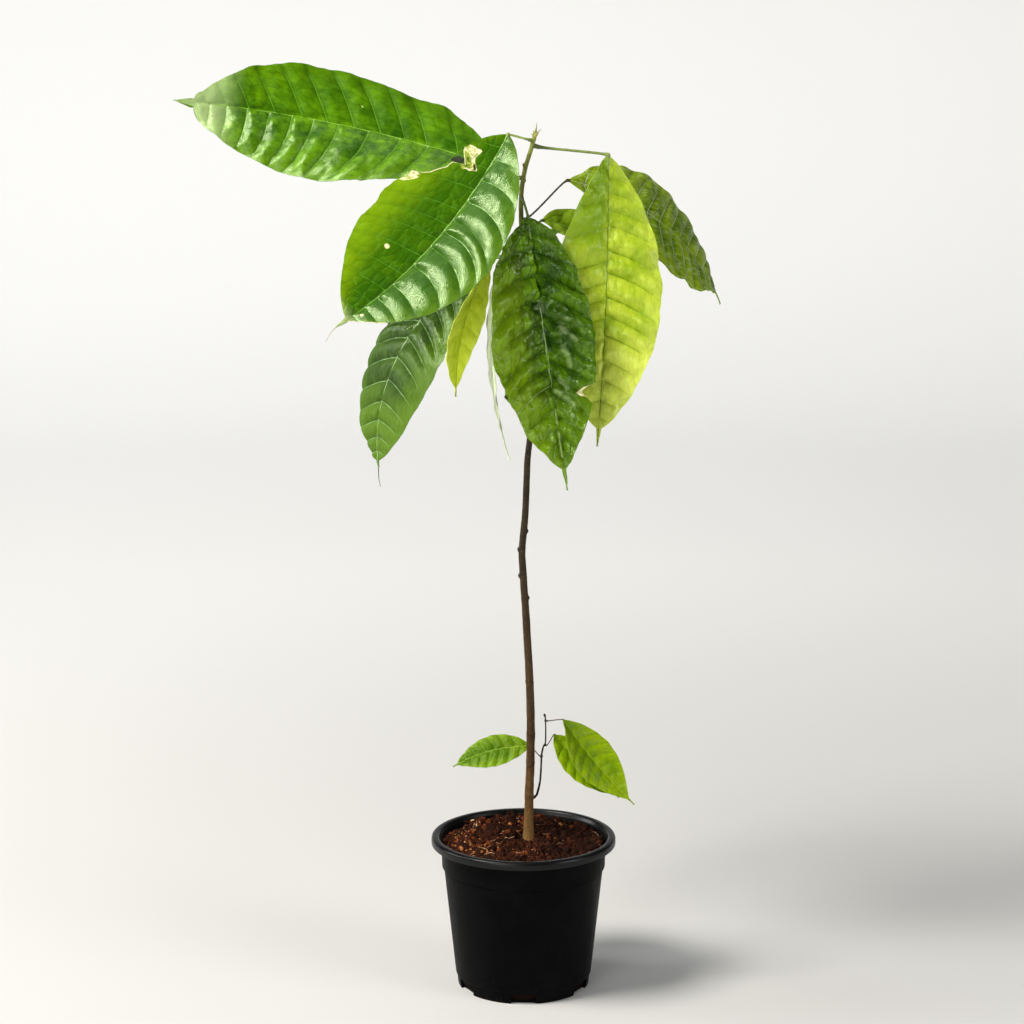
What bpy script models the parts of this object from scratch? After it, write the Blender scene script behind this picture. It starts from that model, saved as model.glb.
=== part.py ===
# Potted cacao seedling: a moulded pot filled with potting mix, one slender stem,
# a crown of hanging leaves on long stalks, and a small side shoot with three leaves.
# Metres, +Z up. Origin at the middle of the pot's underside, +X to the right and
# +Y to the back as the plant is usually seen.

import math

import bmesh
import bpy
import numpy as np
from mathutils import Vector

GAP = 0.0003
ROUND_STEPS = 48
STALK_BEVEL_RESOLUTION = 2
STALK_START_PULL = 0.45
STALK_END_PULL = 0.3
STALK_SWELL_REACH = 0.12
STALK_SWELLS = (0.35, 0.45)

# Pot, as radii and heights
POT_HEIGHT = 0.125
RIM_RADIUS = 0.075
RIM_LIP_WIDTH = 0.006
RIM_SKIRT = 0.0065
RIM_ROUND = 0.0024
RIM_ROUND_STEPS = 5
LIP_SLOPE = 0.0012
LIP_EDGE = 0.0010
LIP_INNER_DROP = 0.0030
EDGE_BREAK = 0.0006
NECK_FILLET = 0.0012
NECK_RADIUS = 0.0669
SHOULDER_HEIGHT = 0.099
SHOULDER_STEP = 0.0016
BODY_TOP_RADIUS = 0.0648
BASE_RADIUS = 0.0544
FOOT_HEIGHT = 0.010
FOOT_STEP = 0.0009
FOOT_STEP_DROP = 0.0005
BASE_EDGE = 0.0008
WALL = 0.0016
FLOOR = 0.0022
FLOOR_CORNER = 0.002
WALL_START = 0.004
DRAIN_SLOTS = 6
DRAIN_SLOT_WIDTH = 0.020
DRAIN_SLOT_HEIGHT = 0.0085
DRAIN_SLOT_DEPTH = 0.010

# Potting mix
MIX_LEVEL = 0.118
MIX_EDGE_LEVEL = 0.1172
MIX_FLAT_RADIUS = 0.012
MIX_DOME_STEPS = 4
MIX_DOME_POWER = 1.5
MIX_EDGE_SLOPE = 0.0002
MIX_FOOT_RISE = 0.0005

# Stem: a list of (height, x, y) that its middle line runs through, and its radii
STEM_COURSE = [
    (0.1183, 0.0040, 0.0000),
    (0.155, 0.0045, 0.0000),
    (0.204, 0.0058, -0.0010),
    (0.250, 0.0050, -0.0020),
    (0.304, 0.0020, -0.0010),
    (0.345, -0.0007, 0.0010),
    (0.361, -0.0013, 0.0020),
    (0.390, 0.0012, 0.0030),
    (0.434, 0.0030, 0.0020),
    (0.460, 0.0052, 0.0000),
    (0.520, 0.0040, -0.0020),
    (0.580, 0.0002, 0.0000),
    (0.632, -0.0024, 0.0020),
    (0.658, -0.0001, 0.0020),
    (0.678, 0.0056, 0.0010),
    (0.6865, 0.0080, 0.0000),
]
STEM_FOOT_RADIUS = 0.0038
STEM_TIP_RADIUS = 0.0017
STEM_FLARE = 0.0013
STEM_FLARE_HEIGHT = 0.010
STEM_STATIONS = 56
TAPER_POWER = 0.85
SCAR_HEIGHTS = [0.1565, 0.185, 0.209, 0.254, 0.322, 0.340, 0.361, 0.376]
SCAR_SWELL = 0.0006
SCAR_REACH = 0.0022
BUD_SPIKES = [(0.0115, 14.0, 20.0), (0.0085, 32.0, -10.0), (0.0055, 12.0, 170.0)]
BUD_RADIUS = 0.0013
BUD_CORE_HEIGHT = 0.003
BUD_CORE_TAPER = 0.8
BUD_SCALE_START = 0.0012
BUD_SCALE_WIDTHS = {0.0: 0.7, 0.35: 0.6, 0.7: 0.38, 1.0: 0.12}

# Side shoot: (height, x, y) of its middle line after it leaves the stem
SHOOT_ROOT_HEIGHT = 0.1555
SHOOT_COURSE = [
    (0.1575, 0.0108, 0.0042),
    (0.1620, 0.0122, 0.0052),
    (0.1690, 0.0136, 0.0062),
    (0.1790, 0.0143, 0.0072),
    (0.1890, 0.0147, 0.0080),
    (0.1965, 0.0160, 0.0070),
    (0.2010, 0.0178, 0.0060),
    (0.2190, 0.0178, 0.0040),
    (0.2255, 0.0168, 0.0030),
]
SHOOT_ROOT_RADIUS = 0.0012
SHOOT_TIP_RADIUS = 0.0005
SHOOT_STATIONS = 26
SHOOT_TAPER_POWER = 0.7

# A leaf is a blade that is swept along its middle rib, on a stalk.
#   joint       height of the stalk's joint on the stem or shoot
#   base        where the blade starts: x, y, z
#   length      of the middle rib, with the drip tip
#   left, right half widths of the blade
#   azimuth     heading of the rib at its base and at its tip, in degrees from +X
#   rise        slope of the rib at its base and at its tip, in degrees
#   roll        turn of the blade about its rib at its base and at its tip, in degrees
#   bend        above 1 the slope changes late, below 1 it changes early
#   fold        how far each half is lifted out of the flat, in degrees
#   camber      how far each half curls down again towards its edge
#   peak        where along the rib the blade is widest
#   fullness    below 1 the outline is blunter
#   tip         share of the length that is drip tip
#   stalk       radius of the stalk
CROWN_LEAVES = {
    "leaf_top_left": dict(
        joint=0.655, base=(-0.027, 0.009, 0.666), length=0.260, left=0.057, right=0.050,
        azimuth=(155, 192), rise=(15, 5), roll=(-24, -83), bend=1.4,
        fold=14, camber=0.20, peak=0.46, fullness=0.56, tip=0.11, stalk=0.0012),
    "leaf_front_left": dict(
        joint=0.684, base=(-0.0125, -0.009, 0.689), length=0.215, left=0.052, right=0.057,
        azimuth=(225, 212), rise=(-52, -27), roll=(-33, -47), bend=1.2,
        fold=15, camber=0.11, peak=0.52, fullness=0.62, tip=0.09, stalk=0.0011),
    "leaf_lower_left": dict(
        joint=0.607, base=(-0.033, 0.054, 0.5875), length=0.199, left=0.044, right=0.040,
        azimuth=(172, 198), rise=(-36, -97), roll=(-48, -21), bend=1.25,
        fold=4, camber=0.15, peak=0.52, fullness=0.57, tip=0.06, stalk=0.0012),
    "leaf_yellow_left": dict(
        joint=0.594, base=(-0.027, 0.012, 0.591), length=0.116, left=0.016, right=0.022,
        azimuth=(-21, -45), rise=(-119, -89), roll=(1, 21), bend=1.3,
        fold=19, camber=0.00, peak=0.44, fullness=0.76, tip=0.11, stalk=0.0009),
    "leaf_edge_on": dict(
        joint=0.582, base=(-0.019, 0.030, 0.592), length=0.166, left=0.030, right=0.028,
        azimuth=(186, 178), rise=(-80, -108), roll=(0, 4), bend=1.2,
        fold=4, camber=0.05, peak=0.48, fullness=0.70, tip=0.26, stalk=0.0010),
    "leaf_front": dict(
        joint=0.640, base=(0.003, -0.026, 0.626), length=0.212, left=0.040, right=0.045,
        azimuth=(-48, -64), rise=(-79, -71), roll=(9, 30), bend=1.0,
        fold=17, camber=0.14, peak=0.42, fullness=0.67, tip=0.14, stalk=0.0012),
    "leaf_right": dict(
        joint=0.6805, base=(0.0656, 0.008, 0.6726), length=0.227, left=0.045, right=0.043,
        azimuth=(-86, -123), rise=(-82, -81), roll=(-25, -11), bend=1.0,
        fold=16, camber=0.14, peak=0.48, fullness=0.71, tip=0.11, stalk=0.0013),
    "leaf_rear_right": dict(
        joint=0.6235, base=(0.035, 0.018, 0.653), length=0.193, left=0.046, right=0.044,
        azimuth=(14, 57), rise=(-12, -53), roll=(47, 58), bend=0.9,
        fold=6, camber=0.15, peak=0.53, fullness=0.67, tip=0.10, stalk=0.0009),
    "leaf_rear_small": dict(
        joint=0.613, base=(0.015, 0.030, 0.621), length=0.129, left=0.027, right=0.026,
        azimuth=(20, 24), rise=(-2, -79), roll=(49, 23), bend=0.7,
        fold=14, camber=0.12, peak=0.44, fullness=0.75, tip=0.10, stalk=0.0009),
    "leaf_rear": dict(
        joint=0.5725, base=(0.010, 0.042, 0.584), length=0.165, left=0.032, right=0.030,
        azimuth=(78, 68), rise=(-45, -88), roll=(-6, 8), bend=0.9,
        fold=12, camber=0.12, peak=0.47, fullness=0.66, tip=0.10, stalk=0.0011),
    "leaf_rear_young": dict(
        joint=0.594, base=(0.0060, 0.0095, 0.6045), length=0.025, left=0.0055, right=0.0055,
        azimuth=(15, 5), rise=(32, 12), roll=(55, 40), bend=1.0,
        fold=16, camber=0.10, peak=0.50, fullness=0.75, tip=0.10, stalk=0.0008),
}
SHOOT_LEAVES = {
    "side_leaf_left": dict(
        joint=0.1885, base=(0.0055, 0.0120, 0.196), length=0.067, left=0.016, right=0.013,
        azimuth=(179, 172), rise=(1, -34), roll=(-52, -44), bend=1.0,
        fold=12, camber=0.13, peak=0.45, fullness=0.80, tip=0.10, stalk=0.0005),
    "side_leaf_lower": dict(
        joint=0.1985, base=(0.025, 0.0070, 0.207), length=0.073, left=0.016, right=0.018,
        azimuth=(-28, -15), rise=(-45, -35), roll=(32, 21), bend=1.0,
        fold=13, camber=0.13, peak=0.47, fullness=0.76, tip=0.10, stalk=0.0005),
    "side_leaf_upper": dict(
        joint=0.2195, base=(0.0322, -0.004, 0.2222), length=0.089, left=0.020, right=0.020,
        azimuth=(-5, -29), rise=(-57, -38), roll=(31, 55), bend=1.0,
        fold=16, camber=0.12, peak=0.42, fullness=0.90, tip=0.13, stalk=0.0005),
}
LEAF_COLOURS = {
    "leaf_top_left": (0.075, 0.22, 0.012),
    "leaf_front_left": (0.09, 0.24, 0.02),
    "leaf_lower_left": (0.035, 0.11, 0.03),
    "leaf_yellow_left": (0.32, 0.36, 0.03),
    "leaf_edge_on": (0.36, 0.44, 0.16),
    "leaf_front": (0.025, 0.075, 0.008),
    "leaf_right": (0.28, 0.40, 0.015),
    "leaf_rear_right": (0.045, 0.12, 0.012),
    "leaf_rear_small": (0.11, 0.19, 0.02),
    "leaf_rear": (0.04, 0.11, 0.012),
    "leaf_rear_young": (0.13, 0.20, 0.03),
    "side_leaf_left": (0.09, 0.24, 0.008),
    "side_leaf_lower": (0.09, 0.22, 0.008),
    "side_leaf_upper": (0.13, 0.28, 0.008),
}

# Blade and middle rib
BLADE_THICKNESS_SHARE = 0.0105
BLADE_LEAST_THICKNESS = 0.0009
BLADE_END_CROWDING = 0.55
DRIP_TIP_WIDTH_SHARE = 0.07
SHARP_ANGLE = 60.0
RIB_STEPS = 60
RIB_IN_BLADE = 0.80
RIB_DEPTH_SHARE = 0.35
RIB_FOOT_SHARE = 1.15
RIB_TIP_SHARE = 0.40

# Steps along the blade, across the blade and along the stalk
CROWN_STEPS = (17, 7, 9)
YOUNG_STEPS = (8, 5, 9)
SHOOT_STEPS = (11, 5, 7)


def clear_scene():
    for item in list(bpy.data.objects):
        bpy.data.objects.remove(item, do_unlink=True)


def new_collection(name):
    collection = bpy.data.collections.new(name)
    bpy.context.scene.collection.children.link(collection)
    return collection


def make_material(name, colour, roughness, metallic=0.0):
    material = bpy.data.materials.new(name)
    material.use_nodes = True
    shader = material.node_tree.nodes["Principled BSDF"]
    shader.inputs["Base Color"].default_value = (*colour, 1.0)
    shader.inputs["Roughness"].default_value = roughness
    shader.inputs["Metallic"].default_value = metallic
    material.diffuse_color = (*colour, 1.0)
    return material


def plastic_material():
    return make_material("moulded_black_plastic", (0.009, 0.010, 0.011), 0.42)


def mix_material():
    return make_material("moist_potting_mix", (0.045, 0.016, 0.008), 0.95)


def bark_material():
    return make_material("young_cacao_bark", (0.075, 0.045, 0.024), 0.75)


def bud_material():
    return make_material("green_bud", (0.19, 0.22, 0.06), 0.6)


def leaf_material(name, colour):
    return make_material(name, colour, 0.4)


def mesh_object(name, vertices, faces, collection, material):
    mesh = bpy.data.meshes.new(name)
    mesh.from_pydata([tuple(v) for v in vertices], [], faces)
    mesh.update()
    item = bpy.data.objects.new(name, mesh)
    collection.objects.link(item)
    if material:
        mesh.materials.append(material)
    return item


def shade_round(item, degrees=35.0):
    item.data.shade_smooth()
    item.data.set_sharp_from_angle(angle=math.radians(degrees))


def bake_modifiers(item):
    """Keep the shape that an object's modifiers give, and drop the modifiers."""
    graph = bpy.context.evaluated_depsgraph_get()
    mesh = bpy.data.meshes.new_from_object(item.evaluated_get(graph))
    item.modifiers.clear()
    item.data = mesh


def turned(name, profile, collection, material):
    """A solid of revolution: profile points (radius, height) turned round Z."""
    points = [(radius, 0.0, height) for radius, height in profile]
    edges = [(i, i + 1) for i in range(len(points) - 1)]
    mesh = bpy.data.meshes.new(name)
    mesh.from_pydata(points, edges, [])
    mesh.materials.append(material)
    item = bpy.data.objects.new(name, mesh)
    collection.objects.link(item)
    screw = item.modifiers.new("turn", "SCREW")
    screw.axis = "Z"
    screw.steps = ROUND_STEPS
    screw.render_steps = ROUND_STEPS
    screw.use_merge_vertices = True
    screw.merge_threshold = 0.00005
    screw.use_smooth_shade = True
    return item


def wall_radius(height):
    """Outer radius of the pot's tapering body."""
    share = height / SHOULDER_HEIGHT
    return BASE_RADIUS + (BODY_TOP_RADIUS - BASE_RADIUS) * share


def inner_radius(height):
    """Inner radius of the pot, which follows the body and then opens at the shoulder."""
    if height <= SHOULDER_HEIGHT:
        return wall_radius(height) - WALL - FOOT_STEP * 0.5
    neck = NECK_RADIUS - WALL
    share = (height - SHOULDER_HEIGHT) / (POT_HEIGHT - RIM_SKIRT - SHOULDER_HEIGHT)
    start = wall_radius(SHOULDER_HEIGHT) - WALL - FOOT_STEP * 0.5
    return start + (neck - start) * min(share, 1.0)


def pot_profile():
    """The pot's section, from the middle of its floor over the rim to its underside."""
    skirt = POT_HEIGHT - RIM_SKIRT
    lip_in = RIM_RADIUS - RIM_LIP_WIDTH
    foot_in = BASE_RADIUS - FOOT_STEP
    points = [(0.0, FLOOR), (inner_radius(FLOOR) - FLOOR_CORNER, FLOOR)]
    points += [(inner_radius(WALL_START), WALL_START), (inner_radius(SHOULDER_HEIGHT), SHOULDER_HEIGHT)]
    points += [(NECK_RADIUS - WALL, skirt), (lip_in - LIP_SLOPE, POT_HEIGHT - LIP_INNER_DROP)]
    points += [(lip_in, POT_HEIGHT - LIP_EDGE)]
    for turn in np.radians(np.linspace(110.0, 0.0, RIM_ROUND_STEPS)):
        radius = RIM_RADIUS - RIM_ROUND + RIM_ROUND * math.cos(turn)
        points.append((radius, POT_HEIGHT - RIM_ROUND + RIM_ROUND * math.sin(turn)))
    points += [(RIM_RADIUS, skirt + EDGE_BREAK), (RIM_RADIUS - EDGE_BREAK, skirt)]
    points += [(NECK_RADIUS + NECK_FILLET, skirt), (NECK_RADIUS, skirt - NECK_FILLET)]
    points += [(BODY_TOP_RADIUS + SHOULDER_STEP, SHOULDER_HEIGHT + EDGE_BREAK)]
    points += [(BODY_TOP_RADIUS, SHOULDER_HEIGHT - EDGE_BREAK), (wall_radius(FOOT_HEIGHT), FOOT_HEIGHT)]
    points += [(wall_radius(FOOT_HEIGHT) - FOOT_STEP, FOOT_HEIGHT - FOOT_STEP_DROP)]
    points += [(foot_in, BASE_EDGE), (foot_in - BASE_EDGE, 0.0), (0.0, 0.0)]
    return points


def add_drain_cutters(collection):
    """Blocks that cut the drain slots through the corner between wall and floor."""
    cutters = []
    faces = [(0, 1, 3, 2), (4, 6, 7, 5), (0, 4, 5, 1), (2, 3, 7, 6), (0, 2, 6, 4), (1, 5, 7, 3)]
    for k in range(DRAIN_SLOTS):
        turn = math.radians(360.0 * (k + 0.5) / DRAIN_SLOTS)
        out = Vector((math.cos(turn), math.sin(turn), 0.0))
        along = Vector((-math.sin(turn), math.cos(turn), 0.0)) * DRAIN_SLOT_WIDTH * 0.5
        up = Vector((0.0, 0.0, DRAIN_SLOT_HEIGHT))
        corners = []
        for radius in (BASE_RADIUS - DRAIN_SLOT_DEPTH * 0.5, BASE_RADIUS + DRAIN_SLOT_DEPTH * 0.5):
            corners += [out * radius + side + height for side in (-along, along) for height in (-up, up)]
        cutter = mesh_object(f"drain_cutter_{k + 1}", corners, faces, collection, None)
        cutter.hide_render = True
        cutter.display_type = "WIRE"
        cutters.append(cutter)
    return cutters


def build_pot(parts, cutters):
    pot = turned("pot", pot_profile(), parts, plastic_material())
    for cutter in add_drain_cutters(cutters):
        cut = pot.modifiers.new(cutter.name, "BOOLEAN")
        cut.operation = "DIFFERENCE"
        cut.solver = "EXACT"
        cut.object = cutter
    return pot


def build_mix(parts):
    """Potting mix that fills the pot, 0.3 mm clear of its wall, low at the edge."""
    low = FLOOR + GAP
    top = MIX_EDGE_LEVEL
    profile = [(0.0, MIX_LEVEL), (MIX_FLAT_RADIUS, MIX_LEVEL)]
    for k in range(1, MIX_DOME_STEPS + 1):
        share = k / MIX_DOME_STEPS
        radius = MIX_FLAT_RADIUS + (inner_radius(top) - GAP - MIX_FLAT_RADIUS) * share
        profile.append((radius - MIX_EDGE_SLOPE, MIX_LEVEL + (top - MIX_LEVEL) * share ** MIX_DOME_POWER))
    profile += [(inner_radius(SHOULDER_HEIGHT) - GAP, SHOULDER_HEIGHT)]
    profile += [(inner_radius(WALL_START) - GAP, WALL_START + MIX_FOOT_RISE)]
    profile += [(inner_radius(FLOOR) - FLOOR_CORNER - MIX_FOOT_RISE, low), (0.0, low)]
    return turned("potting_mix", profile, parts, mix_material())


def smooth_course(course, stations):
    """Points (x, y, z) read at even steps from a smooth curve through (height, x, y)."""
    knots = np.array([(x, y, z) for z, x, y in course])
    ends = np.vstack([2 * knots[0] - knots[1], knots, 2 * knots[-1] - knots[-2]])
    where = np.linspace(0.0, len(knots) - 1.0, stations)
    index = np.minimum(where.astype(int), len(knots) - 2)
    u = (where - index)[:, None]
    a, b, c, d = ends[index], ends[index + 1], ends[index + 2], ends[index + 3]
    return 0.5 * (2 * b + (c - a) * u + (2 * a - 5 * b + 4 * c - d) * u ** 2
                  + (3 * b - a - 3 * c + d) * u ** 3)


def tube(name, points, radii, collection, material):
    """A closed tube of changing radius along points, as a welded mesh."""
    curve = bpy.data.curves.new(name, "CURVE")
    curve.dimensions = "3D"
    curve.bevel_depth = 1.0
    curve.bevel_resolution = STALK_BEVEL_RESOLUTION
    curve.use_fill_caps = True
    spline = curve.splines.new("POLY")
    spline.points.add(len(points) - 1)
    for point, place, radius in zip(spline.points, points, radii):
        point.co = (*place, 1.0)
        point.radius = float(radius)
    drawn = bpy.data.objects.new(name + "_drawn", curve)
    collection.objects.link(drawn)
    bpy.context.view_layer.update()
    graph = bpy.context.evaluated_depsgraph_get()
    mesh = bpy.data.meshes.new_from_object(drawn.evaluated_get(graph))
    welder = bmesh.new()
    welder.from_mesh(mesh)
    bmesh.ops.remove_doubles(welder, verts=welder.verts, dist=0.000005)
    bmesh.ops.recalc_face_normals(welder, faces=welder.faces)
    welder.to_mesh(mesh)
    welder.free()
    solid = bpy.data.objects.new(name, mesh)
    collection.objects.link(solid)
    bpy.data.objects.remove(drawn, do_unlink=True)
    mesh.materials.clear()
    mesh.materials.append(material)
    shade_round(solid)
    return solid


def stem_radius(height):
    """Radius by height: an even taper, a flare at the foot and a swelling at each scar."""
    foot, tip = STEM_COURSE[0][0], STEM_COURSE[-1][0]
    share = (height - foot) / (tip - foot)
    radius = STEM_FOOT_RADIUS + (STEM_TIP_RADIUS - STEM_FOOT_RADIUS) * share ** TAPER_POWER
    radius = radius + STEM_FLARE * np.exp(-(height - foot) / STEM_FLARE_HEIGHT)
    for scar in SCAR_HEIGHTS:
        radius = radius + SCAR_SWELL * np.exp(-((height - scar) / SCAR_REACH) ** 2)
    return radius


def point_at_height(points, height):
    """The point of a rising line at a given height."""
    return Vector([float(np.interp(height, points[:, 2], points[:, k])) for k in range(3)])


def way_at_height(points, height, reach=0.002):
    """The heading of a rising line at a given height."""
    return (point_at_height(points, height + reach) - point_at_height(points, height - reach)).normalized()


def square_to(limb_way, out):
    """The level direction out, turned square to a limb, so that an end face lies along the limb."""
    return (out - limb_way * out.dot(limb_way)).normalized()


def build_stem(parts):
    """The main stem, which starts straight up so that its foot is level on the mix."""
    points = smooth_course(STEM_COURSE, STEM_STATIONS)
    points[1, :2] = points[0, :2]
    return tube("stem", points, stem_radius(points[:, 2]), parts, bark_material())


def build_bud(parts):
    """Three narrow bud scales that stand on the stem's tip, joined into one solid."""
    material = bud_material()
    tip = Vector((STEM_COURSE[-1][1], STEM_COURSE[-1][2], STEM_COURSE[-1][0]))
    scales = new_collection("bud_scales")
    points = smooth_course(STEM_COURSE, STEM_STATIONS)
    way = (Vector(points[-1]) - Vector(points[-2])).normalized()
    foot = tip + way * GAP
    core = [foot, foot + way * BUD_CORE_HEIGHT]
    bud = tube("bud", core, [BUD_RADIUS, BUD_RADIUS * BUD_CORE_TAPER], parts, material)
    for k, (length, lean, heading) in enumerate(BUD_SPIKES):
        lean, heading = math.radians(lean), math.radians(heading)
        level = Vector((math.cos(heading), math.sin(heading), 0.0))
        out = level * math.sin(lean) + Vector((0.0, 0.0, math.cos(lean)))
        start = foot + way * BUD_SCALE_START
        line = [start + out * length * s for s in BUD_SCALE_WIDTHS]
        widths = [BUD_RADIUS * share for share in BUD_SCALE_WIDTHS.values()]
        tube(f"bud_scale_{k + 1}", line, widths, scales, material)
    join_collection(bud, scales)
    return bud


def join_collection(item, collection):
    """One union of an object with all that a collection holds, which is then removed."""
    join = item.modifiers.new("join", "BOOLEAN")
    join.operation = "UNION"
    join.operand_type = "COLLECTION"
    join.collection = collection
    join.solver = "EXACT"
    bpy.context.view_layer.update()
    bake_modifiers(item)
    for piece in list(collection.objects):
        bpy.data.objects.remove(piece, do_unlink=True)
    bpy.data.collections.remove(collection)


def shoot_line():
    """Middle line of the side shoot, from 0.3 mm off the stem's bark upward."""
    stem = smooth_course(STEM_COURSE, STEM_STATIONS)
    joint = point_at_height(stem, SHOOT_ROOT_HEIGHT)
    first = SHOOT_COURSE[0]
    level = Vector((first[1] - joint.x, first[2] - joint.y, 0.0)).normalized()
    out = square_to(way_at_height(stem, SHOOT_ROOT_HEIGHT), level)
    root = joint + out * (float(stem_radius(SHOOT_ROOT_HEIGHT)) + GAP)
    near = root + out * SHOOT_ROOT_RADIUS
    start = [(root.z, root.x, root.y), (near.z, near.x, near.y)]
    return smooth_course(start + SHOOT_COURSE, SHOOT_STATIONS)


def build_shoot(parts):
    points = shoot_line()
    share = np.linspace(0.0, 1.0, len(points))
    radii = SHOOT_ROOT_RADIUS + (SHOOT_TIP_RADIUS - SHOOT_ROOT_RADIUS) * share ** SHOOT_TAPER_POWER
    return tube("side_shoot", points, radii, parts, bark_material())


def shoot_radius(height):
    points = shoot_line()
    low, high = points[0, 2], points[-1, 2]
    share = min(max((height - low) / (high - low), 0.0), 1.0)
    return SHOOT_ROOT_RADIUS + (SHOOT_TIP_RADIUS - SHOOT_ROOT_RADIUS) * share ** SHOOT_TAPER_POWER


def rib_frames(leaf):
    """Middle rib of a blade and, along it, its heading, side and upper directions."""
    t = np.linspace(0.0, 1.0, RIB_STEPS + 1)
    azimuth = np.radians(leaf["azimuth"][0] + (leaf["azimuth"][1] - leaf["azimuth"][0]) * t)
    rise = np.radians(leaf["rise"][0] + (leaf["rise"][1] - leaf["rise"][0]) * t ** leaf["bend"])
    roll = np.radians(leaf["roll"][0] + (leaf["roll"][1] - leaf["roll"][0]) * t)[:, None]
    ahead = np.stack([np.cos(rise) * np.cos(azimuth), np.cos(rise) * np.sin(azimuth), np.sin(rise)], 1)
    level = np.stack([-np.sin(rise) * np.cos(azimuth), -np.sin(rise) * np.sin(azimuth), np.cos(rise)], 1)
    up = np.cos(roll) * level + np.sin(roll) * np.cross(ahead, level)
    side = np.cross(ahead, up)
    steps = (ahead[1:] + ahead[:-1]) * 0.5 * leaf["length"] / RIB_STEPS
    rib = np.vstack([np.zeros(3), np.cumsum(steps, axis=0)]) + np.array(leaf["base"])
    return {"t": t, "rib": rib, "ahead": ahead, "side": side, "up": up}


def blade_outline(leaf, t):
    """Half width as a share of the widest: a swelling body that narrows to a drip tip."""
    end = 1.0 - leaf["tip"] * 0.55
    power = math.log(0.5) / math.log(leaf["peak"] / end)
    body = np.sin(np.pi * np.clip(t / end, 0.0, 1.0) ** power) ** leaf["fullness"]
    body = np.where(t > end, 0.0, body)
    drip = DRIP_TIP_WIDTH_SHARE * np.clip((1.0 - t) / leaf["tip"], 0.0, 1.0) ** 0.8
    drip = drip * np.clip(t * 6.0, 0.0, 1.0)
    return (np.clip(body, 0.0, None) ** 3 + drip ** 3) ** (1.0 / 3.0)


def sample(t, values, stations):
    return np.stack([np.interp(stations, t, values[:, k]) for k in range(values.shape[1])], 1)


def blade_stations(count):
    """Places along the rib from 0 to 1, closer together at the base and at the tip."""
    s = np.linspace(0.0, 1.0, count)
    return s - BLADE_END_CROWDING * np.sin(2.0 * np.pi * s) / (2.0 * np.pi)


def blade_thickness(leaf):
    return max(leaf["length"] * BLADE_THICKNESS_SHARE, BLADE_LEAST_THICKNESS)


def blade_points(leaf, stations, across):
    """Grid of points on the blade: across runs from -1 at the left edge to 1 at the right."""
    frames = rib_frames(leaf)
    middle, side, up = [sample(frames["t"], frames[key], stations) for key in ("rib", "side", "up")]
    least = blade_thickness(leaf) * 0.5 / min(leaf["left"], leaf["right"])
    share = np.maximum(blade_outline(leaf, stations), least)
    shaped = np.clip(share * 4.0 - least * 4.0, 0.0, 1.0)
    fold = math.radians(leaf["fold"])
    rows = []
    for u in across:
        half = leaf["right"] if u > 0 else leaf["left"]
        reach = abs(u) * share * half
        out = np.sign(u) * reach * math.cos(fold)
        lift = reach * math.sin(fold) - leaf["camber"] * reach ** 2 / half
        rows.append(middle + side * out[:, None] + up * (lift * shaped)[:, None])
    return np.stack(rows, 1)


def build_blade(name, leaf, collection, material, along, across):
    points = blade_points(leaf, blade_stations(along), np.linspace(-1.0, 1.0, across))
    faces = []
    for i in range(along - 1):
        for j in range(across - 1):
            a = i * across + j
            faces.append((a, a + 1, a + across + 1, a + across))
    blade = mesh_object(name, points.reshape(-1, 3), faces, collection, material)
    shell = blade.modifiers.new("thickness", "SOLIDIFY")
    shell.thickness = blade_thickness(leaf)
    shell.offset = 0.0
    bake_modifiers(blade)
    shade_round(blade, SHARP_ANGLE)
    return blade


def stalk_line(leaf, joint, limb_way, limb_radius, count):
    """Stalk from 0.3 mm off its limb, first square to the limb, then on to the blade."""
    base = Vector(leaf["base"])
    out = square_to(limb_way, Vector((base.x - joint.x, base.y - joint.y, 0.0)).normalized())
    start = joint + out * (limb_radius + GAP)
    near = start + out * leaf["stalk"]
    heading = Vector(rib_frames(leaf)["ahead"][0])
    span = (base - near).length
    line = [start]
    for k in range(count):
        s = k / (count - 1)
        a, b = 2 * s ** 3 - 3 * s ** 2 + 1, s ** 3 - 2 * s ** 2 + s
        c, d = 3 * s ** 2 - 2 * s ** 3, s ** 3 - s ** 2
        pulls = out * span * STALK_START_PULL * b + heading * span * STALK_END_PULL * d
        line.append(near * a + base * c + pulls)
    return line


def stalk_radii(leaf, count):
    """Stalk radius, thicker where it joins the limb and where it joins the blade."""
    s = np.linspace(0.0, 1.0, count)
    limb_end = np.exp(-(s / STALK_SWELL_REACH) ** 2)
    blade_end = np.exp(-((1.0 - s) / STALK_SWELL_REACH) ** 2)
    return leaf["stalk"] * (1.0 + STALK_SWELLS[0] * limb_end + STALK_SWELLS[1] * blade_end)


def build_leaf(name, leaf, limb, limb_radius, parts, steps):
    """One leaf: the blade, joined with its stalk and middle rib."""
    along, across, stalk_count = steps
    material = leaf_material("blade_of_" + name, LEAF_COLOURS[name])
    joint = point_at_height(limb, leaf["joint"])
    way = way_at_height(limb, leaf["joint"])
    blade = build_blade(name, leaf, parts, material, along, across)
    frames = rib_frames(leaf)
    line = stalk_line(leaf, joint, way, limb_radius, stalk_count)
    radii = list(stalk_radii(leaf, len(line)))
    below = blade_thickness(leaf) * RIB_DEPTH_SHARE
    for place in np.linspace(0.0, RIB_IN_BLADE, along // 2)[1:]:
        index = int(place * RIB_STEPS)
        sink = frames["up"][index] * below * min(place * 8.0, 1.0)
        line.append(Vector(frames["rib"][index] - sink))
        taper = RIB_FOOT_SHARE + (RIB_TIP_SHARE - RIB_FOOT_SHARE) * place / RIB_IN_BLADE
        radii.append(leaf["stalk"] * taper)
    stalks = new_collection(name + "_stalk")
    tube(name + "_rib", line, radii, stalks, material)
    join_collection(blade, stalks)
    shade_round(blade, SHARP_ANGLE)
    return blade


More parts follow.
